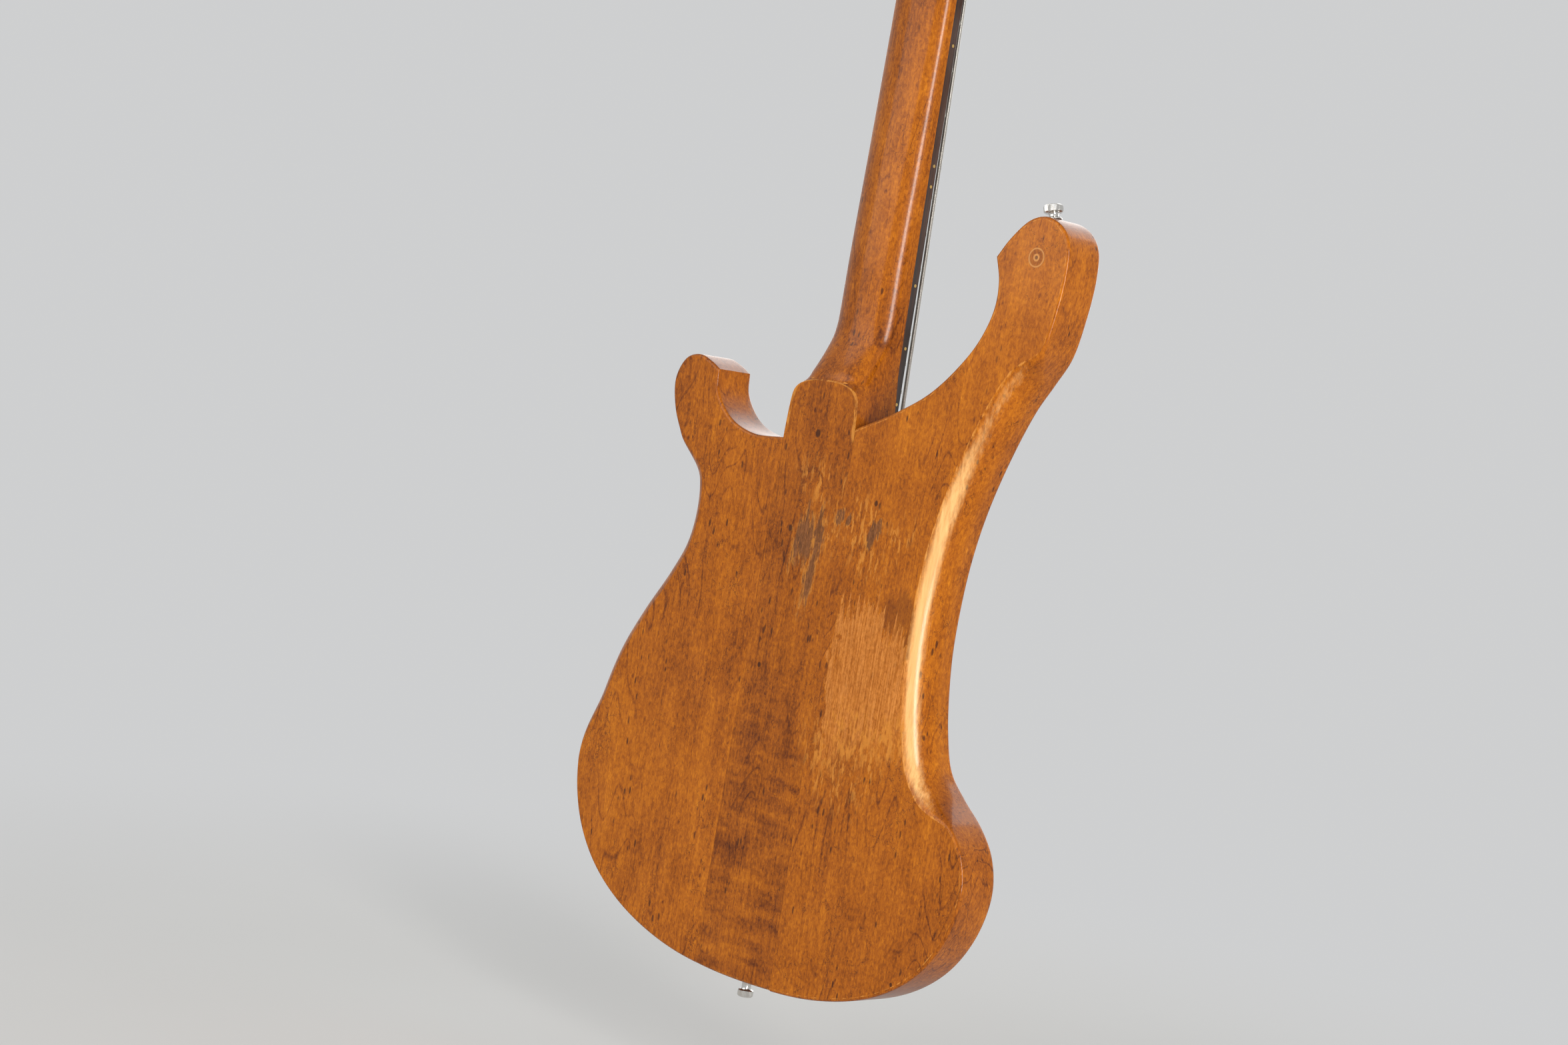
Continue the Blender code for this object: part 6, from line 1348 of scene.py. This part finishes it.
for number, name in enumerate("eadg"):
    radius = STRING_RADII[name]
    over = -SCALE - SADDLE_BACK[name]
    rest_y, nut_y = SADDLE_BOTTOM - radius, NUT_BOTTOM - radius
    fall = (ANCHOR_Y - rest_y) / (ANCHOR - over)
    back = ANCHOR - 0.0030
    knots = np.array([(back - 0.0003, ANCHOR_Y + fall * (back - ANCHOR)), (ANCHOR, ANCHOR_Y),
                      (over - 0.0012, rest_y - fall * 0.0012), (over, rest_y),
                      (over + 0.0012, rest_y), (-0.0010, nut_y), (0.0002, nut_y)])
    legs = np.linalg.norm(np.diff(knots, axis=0), axis=1)
    along = np.concatenate([[0.0], np.cumsum(legs)])
    fine = np.unique(np.concatenate([np.linspace(0.0, along[-1], 60), along,
                                     along[3] + np.linspace(-0.003, 0.003, 9)]))
    z_run, y_run = np.interp(fine, along, knots[:, 0]), np.interp(fine, along, knots[:, 1])
    straight = grid(string_x(number, z_run), y_run, z_run)
    nut_exit, way, coil, bend, start, slot_angle = post_lead(name)
    x, z = POSTS[name]
    share = np.linspace(0.0, 1.0, round(TURNS * 48) + 1)
    reach = math.hypot(HOOK_REACH + bend, bend)
    wide = coil + (reach - coil) * eased((share - 1.0) * TURNS * 4.0 + 1.0)
    angle = start + way * 2.0 * math.pi * TURNS * share
    wound = grid(x + wide * np.cos(angle), WIND_FIRST + (WIND_LAST - WIND_FIRST) * share,
                 z + wide * np.sin(angle))
    out = np.array([math.cos(slot_angle), 0.0, math.sin(slot_angle)])
    aside = np.array([-math.sin(slot_angle), 0.0, math.cos(slot_angle)]) * way
    post = np.array([x, WIND_LAST, z])
    turn = np.radians(np.linspace(15.0, 90.0, 6))[:, None]
    hook = post + out * HOOK_REACH - aside * bend
    hook = hook + bend * (out * np.cos(turn) + aside * np.sin(turn))
    end = post + out * np.array([[0.5 * HOOK_REACH], [0.0]])
    head_part = head_to_world(np.concatenate([nut_exit[None], wound, hook, end]))
    path = np.concatenate([straight, head_part])
    run = np.concatenate([[0.0], np.cumsum(np.linalg.norm(np.diff(path, axis=0), axis=1))])
    points = tube(path, radius)
    solid_piece("string_" + name, skin(points),
                wound_wire("wound_steel_" + name, 0.00052 + 0.00022 * (3 - number) / 3),
                60.0, marks={"run": np.repeat(run, points.shape[1])})
    ball = turned_shape([(radius, -0.0066), (0.0022, -0.0064), (0.0030, -0.0059),
                         (0.0031, -0.0054), (0.0031, -0.0014), (0.0030, -0.0009),
                         (0.0022, -0.0005), (radius, -0.0003)], 32,
                        (string_x(number, back), ANCHOR_Y + fall * (back - ANCHOR), back + 0.0002),
                        "Z")
    solid_piece("ball_end_" + name, ball, wheel_brass, 35.0, node=None)


# The pickups: bright plated covers over coil and magnet, each with a row of four slotted pole
# screws, sitting in black plastic rings that are screwed to the body's front.
chrome = turned_metal("aged_chrome", (0.66, 0.645, 0.615), 0.17, (0.26, 0.21, 0.15), 0.7)
black = plastic("black_plastic", (0.018, 0.018, 0.019), (0.030, 0.029, 0.027), 0.26, 0.8)


def pressed_box(z, half_x, half_z, corner, insets, levels):
    """Rows of a box with rounded corners and edges: its outline drawn in level by level."""
    line = eased_corners([(-half_x, z - half_z), (half_x, z + half_z)], corner, 12)
    return plate_rows(line, insets, levels)


for name, z in zip(("neck_pickup", "bridge_pickup"), PICKUP_HEIGHTS):
    inset, fall = rounding(0.0012, 6, True)
    cover = pressed_box(z, 0.0309, 0.0189, 0.0048, [0.0006, 0.0, *inset],
                        [0.0159, 0.0150, *(fall - 0.0110)])
    solid_piece(name, skin(cover), chrome, 40.0)
    screws(name + "_poles", [(string_x(number, z + 0.0085), -0.01099, z + 0.0085)
                             for number in range(4)], 0.0024, 0.0006, slot=0.003)
    outer, inner = rounding(0.0005, 6, True)[0], 0.0034 - rounding(0.0003, 6, True)[1]
    fall = rounding(0.00045, 6, True)
    ring = pressed_box(z, 0.0348, 0.0228, 0.0076, [0.0, 0.0, *outer, *inner, 0.0034, 0.0034],
                       [-0.00035, -0.0010, *(fall[1] - 0.00185), *(fall[0] - 0.00185),
                        -0.0010, -0.00035])
    solid_piece(name + "_ring", hoop(ring), black, 40.0)
    screws(name + "_ring_screws", [(side * 0.0328, -0.00184, z + up * 0.0205)
                                   for side in (-1, 1) for up in (-1, 1)], 0.00150, 0.0007)


# The pickguard and the controls: a yellowed white sheet held by small screws, with two volume
# and two tone pots in the hollow below it, their black knobs, and the pickup switch.
GUARD = smooth_run(np.array([
    (0.0400, 0.19455), (0.0400, 0.23155), (0.0470, 0.23855), (0.0640, 0.24255),
    (0.0880, 0.25455), (0.1060, 0.27255), (0.1130, 0.26155), (0.1010, 0.23955),
    (0.0930, 0.21255), (0.0930, 0.19055), (0.1000, 0.16255), (0.1150, 0.13455),
    (0.1310, 0.10455), (0.1450, 0.07255), (0.1520, 0.03955), (0.1500, 0.00955),
    (0.1390, -0.01945), (0.1150, -0.04145), (0.0850, -0.04745), (0.0600, -0.04145),
    (0.0470, -0.02545), (0.0430, 0.00455), (0.0410, 0.06455), (0.0400, 0.13455)]),
    0.0030, True) - (0.0, SCALE)
CONTROLS = {"neck_volume": (0.0720, -0.7750), "bridge_volume": (0.1100, -0.7890),
            "neck_tone": (0.0760, -0.8300), "bridge_tone": (0.1140, -0.8430)}
SWITCH = (0.0720, -0.7250)
inset, fall = rounding(0.0007, 6, True)[0], rounding(0.00075, 6, True)[1]
guard = plate_rows(GUARD, [0.00015, 0.00015, *(inset + 0.00015)],
                   [-0.0004, -0.0016, *(fall - 0.00255)])
guard = solid_piece("pickguard", skin(guard), white, 35.0)
routed(guard, *[drill((x, -0.005, z), (x, 0.002, z), 0.0046)
                for x, z in (*CONTROLS.values(), SWITCH)])
screws("pickguard_screws", [(x, -0.00255, z) for x, z in (
    (0.0440, -0.6115), (0.1065, -0.5790), (0.0985, -0.6560), (0.0440, -0.7000),
    (0.1220, -0.7230), (0.0450, -0.7900), (0.1470, -0.7960), (0.1200, -0.8790),
    (0.0570, -0.8740))], 0.0020, 0.0008)

POT_NUT = [(0.0034, -0.0028), (0.0056, -0.0028), (0.0058, -0.0030), (0.0058, -0.0046),
           (0.0054, -0.0049), (0.0034, -0.0049)]
POT_CAN = [(0.0034, -0.0028), (0.0044, -0.0028), (0.0044, -0.0001), (0.0086, 0.0),
           (0.0089, 0.0003), (0.0089, 0.0083), (0.0084, 0.0089), (0.0080, 0.0089),
           (0.0078, 0.0084), (0.0034, 0.0084)]
SWITCH_NUT = [(0.0034, -0.0028), (0.0054, -0.0028), (0.0057, -0.0031), (0.0057, -0.0045),
              (0.0053, -0.0049), (0.0034, -0.0049)]
SWITCH_CASE = [(0.0034, -0.0028), (0.0043, -0.0028), (0.0043, 0.0001), (0.0076, 0.0001),
               (0.0079, 0.0004), (0.0079, 0.0145), (0.0075, 0.0149), (0.0034, 0.0149)]
KNOB = np.array([
    (0.0030, 0.0065), (0.0031, 0.0063), (0.0031, -0.0053), (0.0068, -0.0055), (0.0070, -0.0037),
    (0.0111, -0.0036), (0.0115, -0.0039), (0.0114, -0.0055), (0.0111, -0.0065), (0.0103, -0.0069),
    (0.0096, -0.0075), (0.0091, -0.0083), (0.0090, -0.0090), (0.0087, -0.0130), (0.0085, -0.0167),
    (0.0083, -0.0175), (0.0077, -0.0182), (0.0070, -0.0185), (0.0030, -0.01845),
    (0.0004, -0.0184)])


def waved(profile, waving, waves, depth, steps):
    """Angles and the radii round them: the rows that wave lose depth (1 - cos(n a)) / 2."""
    a = circle(steps)
    return a, profile[:, :1] - waving[:, None] * depth * (0.5 - 0.5 * np.cos(waves * a))


for name, (x, z) in CONTROLS.items():
    pot = joined(turned_shape(POT_NUT, 6, (x, 0.0, z), hollow=True),
                 turned_shape(POT_CAN, 48, (x, 0.0, z), hollow=True))
    solid_piece("pot_" + name, pot, small_nickel)
    height = KNOB[:, 1:]
    fluted = ((height < -0.0088) & (height > -0.0170))[:, 0]
    a, radius = waved(KNOB, fluted, 40.0, 0.00022, 240)
    solid_piece("knob_" + name, skin(grid(x + radius * np.cos(a), height, z + radius * np.sin(a))),
                black, 30.0, "knob_" + name)
    line = eased_corners([(x - 0.0003, z + 0.0022), (x + 0.0003, z + 0.0070)], 0.0002, 4)
    pointer = plate_rows(line, [0.0, 0.0, 0.00005], [-0.0180, -0.01847, -0.01849])
    solid_piece("pointer_" + name, skin(pointer), white, 40.0, "knob_" + name,
                node=None)

spot = (SWITCH[0], 0.0, SWITCH[1])
case = joined(*(turned_shape(profile, 48, spot, hollow=True)
                for profile in (SWITCH_NUT, SWITCH_CASE)))
solid_piece("switch_body", case, small_nickel)
a = np.linspace(0.04, 0.86, 12) * math.pi
lever = [*(0.0029 * np.stack([np.sin(a), np.cos(a)], -1)), (0.0013, -0.0030), (0.0013, -0.0138),
         (0.0010, -0.0140)]
solid_piece("switch_lever", turned_shape(lever, 32, spot), small_nickel,
            body="switch_lever")
level = np.linspace(0.0, 1.0, 25)
swell = 0.0038 * np.interp(level, (0.0, 0.02, 0.38, 0.75, 0.88, 0.95, 0.985, 1.0),
                           (0.60, 0.66, 0.84, 1.0, 0.93, 0.70, 0.42, 0.12))
tip = [(0.0013, -0.0070), *np.stack([swell, -0.0069 - 0.0118 * level], -1)]
solid_piece("switch_tip", turned_shape(tip, 40, spot), black, 40.0,
            "switch_lever")


# The bridge and the tailpiece: a cast tailpiece whose bar holds the strings' balls, and a tray
# with four saddles that slide along their screws to set each string's length.
PLATE_HALF = 0.0339
TRAY_HALF = 0.0329
TRAY_DEPTH = 0.0164
SCREW_Y = -0.0100
inset, fall = rounding(0.0007, 6, True)
line = eased_corners([(-PLATE_HALF, -0.9118), (PLATE_HALF, -0.8202)], 0.0040, 8)
plate = plate_rows(line, [0.0, 0.0, *inset], [-0.0004, -0.0033, *(fall - 0.0042)])
solid_piece("tailpiece", skin(plate), chrome)
line = eased_corners([(ANCHOR - 0.0030, -0.0038), (ANCHOR + 0.0030, -0.0038),
                      (ANCHOR + 0.0030, -0.0164), (ANCHOR - 0.0030, -0.0164)],
                     [0.0002, 0.0002, 0.0020, 0.0020], 7)
bar = plate_rows(line, [0.0007, 0.0002, 0.0, 0.0, 0.0002, 0.0007],
                 [-PLATE_HALF, -0.0336, -0.0332, 0.0332, 0.0336, PLATE_HALF], "x")
tail_bar = solid_piece("tail_bar", skin(bar), chrome, node=None)
slots = []
for number, name in enumerate("eadg"):
    centre, half = string_x(number, ANCHOR), STRING_RADII[name] + 0.0004
    slots.append(block((centre - half, -0.0180, ANCHOR - 0.0050),
                       (centre + half, ANCHOR_Y + 0.0009, ANCHOR + 0.0050)))
routed(tail_bar, *slots)

middle = -SCALE - 0.0010
shapes = [skin(pressed_box(middle, TRAY_HALF, TRAY_DEPTH, 0.0006, [0.0, 0.0, 0.0002],
                           [-0.00465, -0.0059, -0.0062]))]
for end in (-1.0, 1.0):
    edge = middle + end * TRAY_DEPTH
    line = eased_corners([(edge, -0.0060), (edge - end * 0.0028, -0.0060),
                          (edge - end * 0.0028, -0.0145), (edge, -0.0145)],
                         [0.0002, 0.0002, 0.0013, 0.0013], 6)
    shapes.append(skin(plate_rows(line, [0.0005, 0.0, 0.0, 0.0005],
                                  [-TRAY_HALF, -0.0325, 0.0325, TRAY_HALF], "x")))
run = np.linspace(middle - 0.0163, middle + 0.0174, 150)
thread = 0.00118 + 0.00012 * np.cos(2.0 * math.pi * (run - middle + 0.0165) / 0.0007)
for number in range(4):
    spot = (string_x(number, -SCALE), SCREW_Y, 0.0)
    head = turned_shape([(0.0012, -0.0001), (0.0025, -0.0003), (0.0026, -0.0008),
                         (0.0026, -0.0022), (0.0020, -0.0029), (0.0004, -0.0030)],
                        28, (spot[0], SCREW_Y, middle - 0.0165), "Z")
    shapes += [head, turned_shape(np.stack([thread, run], -1), 18, spot, "Z")]
solid_piece("bridge_frame", joined(*shapes), chrome)
screws("tailpiece_screws", [(x, -0.0042, z) for x in (-0.0285, 0.0285)
                            for z in (-0.9060, -0.8745)], 0.0030, 0.0010)

crest, half = SADDLE_BOTTOM + 0.0003, 0.0045
for number, name in enumerate("eadg"):
    z = -SCALE - SADDLE_BACK[name]
    centre = string_x(number, z)
    line = eased_corners([(z - half, -0.0065), (z + half, -0.0065), (z + half, crest + 0.0036),
                          (z + 0.0007, crest), (z - 0.0005, crest), (z - half, crest + 0.0042)],
                         [0.0004, 0.0004, 0.0005, 0.0003, 0.0003, 0.0005], 5)
    rows = plate_rows(line, [0.0002, 0.0, 0.0, 0.0002],
                      centre + np.array([-0.00622, -0.0060, 0.0060, 0.00622]), "x")
    saddle = solid_piece("saddle_" + name, skin(rows), chrome, body="saddle_" + name)
    notch = STRING_RADII[name]
    routed(saddle, *(drill((centre, y, z - 0.008), (centre, y, z + 0.008), radius, 28)
                     for y, radius in ((SCREW_Y, 0.0017),
                                       (SADDLE_BOTTOM - notch, notch + 0.00004))))


# The output socket on the treble side: a dished plate screwed to the edge, and the barrel of the
# jack with its round nut.
y, z = JACK_CENTRE[1:]
plate = turned_shape([(0.0050, 0.16755), (0.0108, 0.16755), (0.0110, 0.1678), (0.0110, 0.1686),
                      (0.0106, 0.1690), (0.0050, 0.1690)], 64, (0.0, y, z), "X", True)
solid_piece("jack_plate", plate, chrome)
profile = np.array([(0.0034, 0.1384), (0.0044, 0.1384), (0.0046, 0.1386), (0.0046, 0.1692),
                    (0.0062, 0.1693), (0.0065, 0.1695), (0.0065, 0.1706), (0.0060, 0.1710),
                    (0.0046, 0.1711), (0.0036, 0.1711), (0.0034, 0.1708)])
a, radius = waved(profile, profile[:, 0] == 0.0065, 36.0, 0.0002, 144)
socket = grid(profile[:, 1:], y + radius * np.cos(a), z + radius * np.sin(a))
solid_piece("jack_socket", hoop(socket), chrome)
screws("jack_screws", [(0.0083, 0.1690, 0.0), (-0.0083, 0.1690, 0.0)], 0.00155, 0.0005, 1.0,
       laid=lambda heads: heads[..., [1, 2, 0]] + (0.0, y, z))


# The strap buttons: turned and plated, with a stepped foot, a waist and a knurled flat head, one
# on the horn's end and one at the tail, each on its screw.
def strap_button(name, spot, way, radius, length, screw):
    """A profile turned about the screw: the head's rim waves by 0.12 mm cos(48 a)."""
    head = length - 0.0045
    profile = np.array([
        (0.0004, -screw), (0.0010, 0.0012 - screw), (0.0017, 0.0025 - screw), (0.0017, 0.0004),
        (radius - 0.0012, 0.0004), (radius - 0.0010, 0.0006), (radius - 0.0010, 0.0013),
        (radius - 0.0014, 0.0017), (0.0033, 0.0021), (0.0030, 0.0028), (0.0030, head - 0.0010),
        (0.0033, head - 0.0004), (radius - 0.0007, head - 0.0001), (radius - 0.0001, head + 0.0003),
        (radius, head + 0.0008), (radius, length - 0.0010), (radius - 0.0002, length - 0.0005),
        (radius - 0.0008, length - 0.00005), (0.0027, length - 0.00005), (0.0025, length - 0.0006),
        (0.0018, length - 0.0003), (0.0008, length - 0.0001), (0.0002, length - 0.0001)])
    a = circle(192)
    wide = profile[:, :1] - (profile[:, :1] == radius) * 0.00012 * (1.0 + np.cos(48.0 * a))
    u = np.cross(way, (0.0, 1.0, 0.0))
    v = np.cross(way, u)
    points = (spot + profile[:, 1][:, None, None] * way
              + wide[..., None] * (np.cos(a)[:, None] * u + np.sin(a)[:, None] * v))
    solid_piece(name, skin(points), chrome)


strap_button("strap_button_horn", HORN_SPOT, HORN_WAY, 0.0059, 0.0095, 0.0180)
strap_button("strap_button_tail", TAIL_SPOT, np.array([0.0, 0.0, -1.0]), 0.0050, 0.0125, 0.0150)


# The room: a pale floor below the hanging instrument that runs into a pale surround, a tall soft
# light on the bass side, broad ones behind and before, and the reference picture's camera.
def seen_directly(finish):
    """1 for the rays by which the camera, a mirror or a clear piece sees a surface, else 0."""
    rays = [finish.node("ShaderNodeLightPath", output=name)
            for name in ("Is Camera Ray", "Is Glossy Ray", "Is Transmission Ray")]
    return rays[0].most(rays[1]).most(rays[2])


SURROUND = (0.62, 0.625, 0.63)
FLOOR = -1.02
floor_mesh = bpy.data.meshes.new("floor")
floor_mesh.from_pydata([(x, y, FLOOR) for x, y in ((-9, -9), (9, -9), (9, 9), (-9, 9))], [],
                       [(0, 1, 2, 3)])
floor = bpy.data.objects.new("floor", floor_mesh)
bpy.context.scene.collection.objects.link(floor)
floor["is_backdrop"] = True
ground = Finish("floor_paint", 0.8, specular=0.3)
spot = ground.node("ShaderNodeTexCoord", output="Object")
cloudy = ground.noise((3.0, 3.0, 3.0), 3.0)
ground.give("Base Color", ground.blend(cloudy, (0.63, 0.63, 0.62), (0.67, 0.67, 0.66)))
far_off = (ground.axis(spot, "X") ** 2.0 + ground.axis(spot, "Y") ** 2.0) ** 0.5
glow = ground.node("ShaderNodeEmission", None, {"Color": (*SURROUND, 1.0), "Strength": 1.0})
faded = ground.node("ShaderNodeMixShader", None,
                    {0: far_off.step(0.35, 1.15) * seen_directly(ground), 2: glow})
ground.tree.links.new(ground.shader.outputs[0], faded.socket.node.inputs[1])
ground.tree.links.new(faded.socket, ground.tree.nodes["Material Output"].inputs["Surface"])
floor_mesh.materials.append(ground.material)

room = bpy.data.worlds.new("room")
bpy.context.scene.world = room
room.use_nodes = True


class Surround(Finish):
    """The world's own shader, built with the same words as a material's."""

    def __init__(self, world):
        self.tree = world.node_tree
        self.shader = self.tree.nodes["Background"]


air = Surround(room)
seen = seen_directly(air)
air.give("Color", air.blend(seen, (0.93, 0.96, 1.0), SURROUND))
air.give("Strength", 0.36 + seen * 0.64)

middle = Vector((0.0, 0.0, -0.65))
for name, way, far, size, power, colour in (
        ("bass_side", (-0.88, 0.46, 0.10), 2.1, (0.40, 1.5), 40.0, (1.0, 0.97, 0.92)),
        ("behind", (0.25, 0.85, 0.47), 3.6, (4.0, 3.0), 62.0, (1.0, 0.98, 0.95)),
        ("before", (0.35, -0.85, 0.40), 3.6, (4.0, 3.0), 76.0, (1.0, 0.98, 0.95))):
    lamp = bpy.data.lights.new(name, "AREA")
    lamp.shape = "RECTANGLE"
    lamp.size, lamp.size_y = size
    lamp.energy, lamp.color = power, colour
    made = bpy.data.objects.new(name, lamp)
    made.location = middle + far * Vector(way)
    made.rotation_euler = (far * Vector(way)).to_track_quat("Z", "Y").to_euler()
    bpy.context.scene.collection.objects.link(made)

lens = bpy.data.cameras.new("camera")
lens.lens = 63.977
lens.sensor_width = 36.0
lens.clip_start = 0.05
camera = bpy.data.objects.new("camera", lens)
camera.location = (-1.17534, 1.31957, -0.55414)
camera.rotation_euler = tuple(math.radians(v) for v in (87.19893, -9.18209, -136.75034))
bpy.context.scene.collection.objects.link(camera)
bpy.context.scene.camera = camera
bpy.context.scene.view_settings.view_transform = "Standard"

low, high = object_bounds()
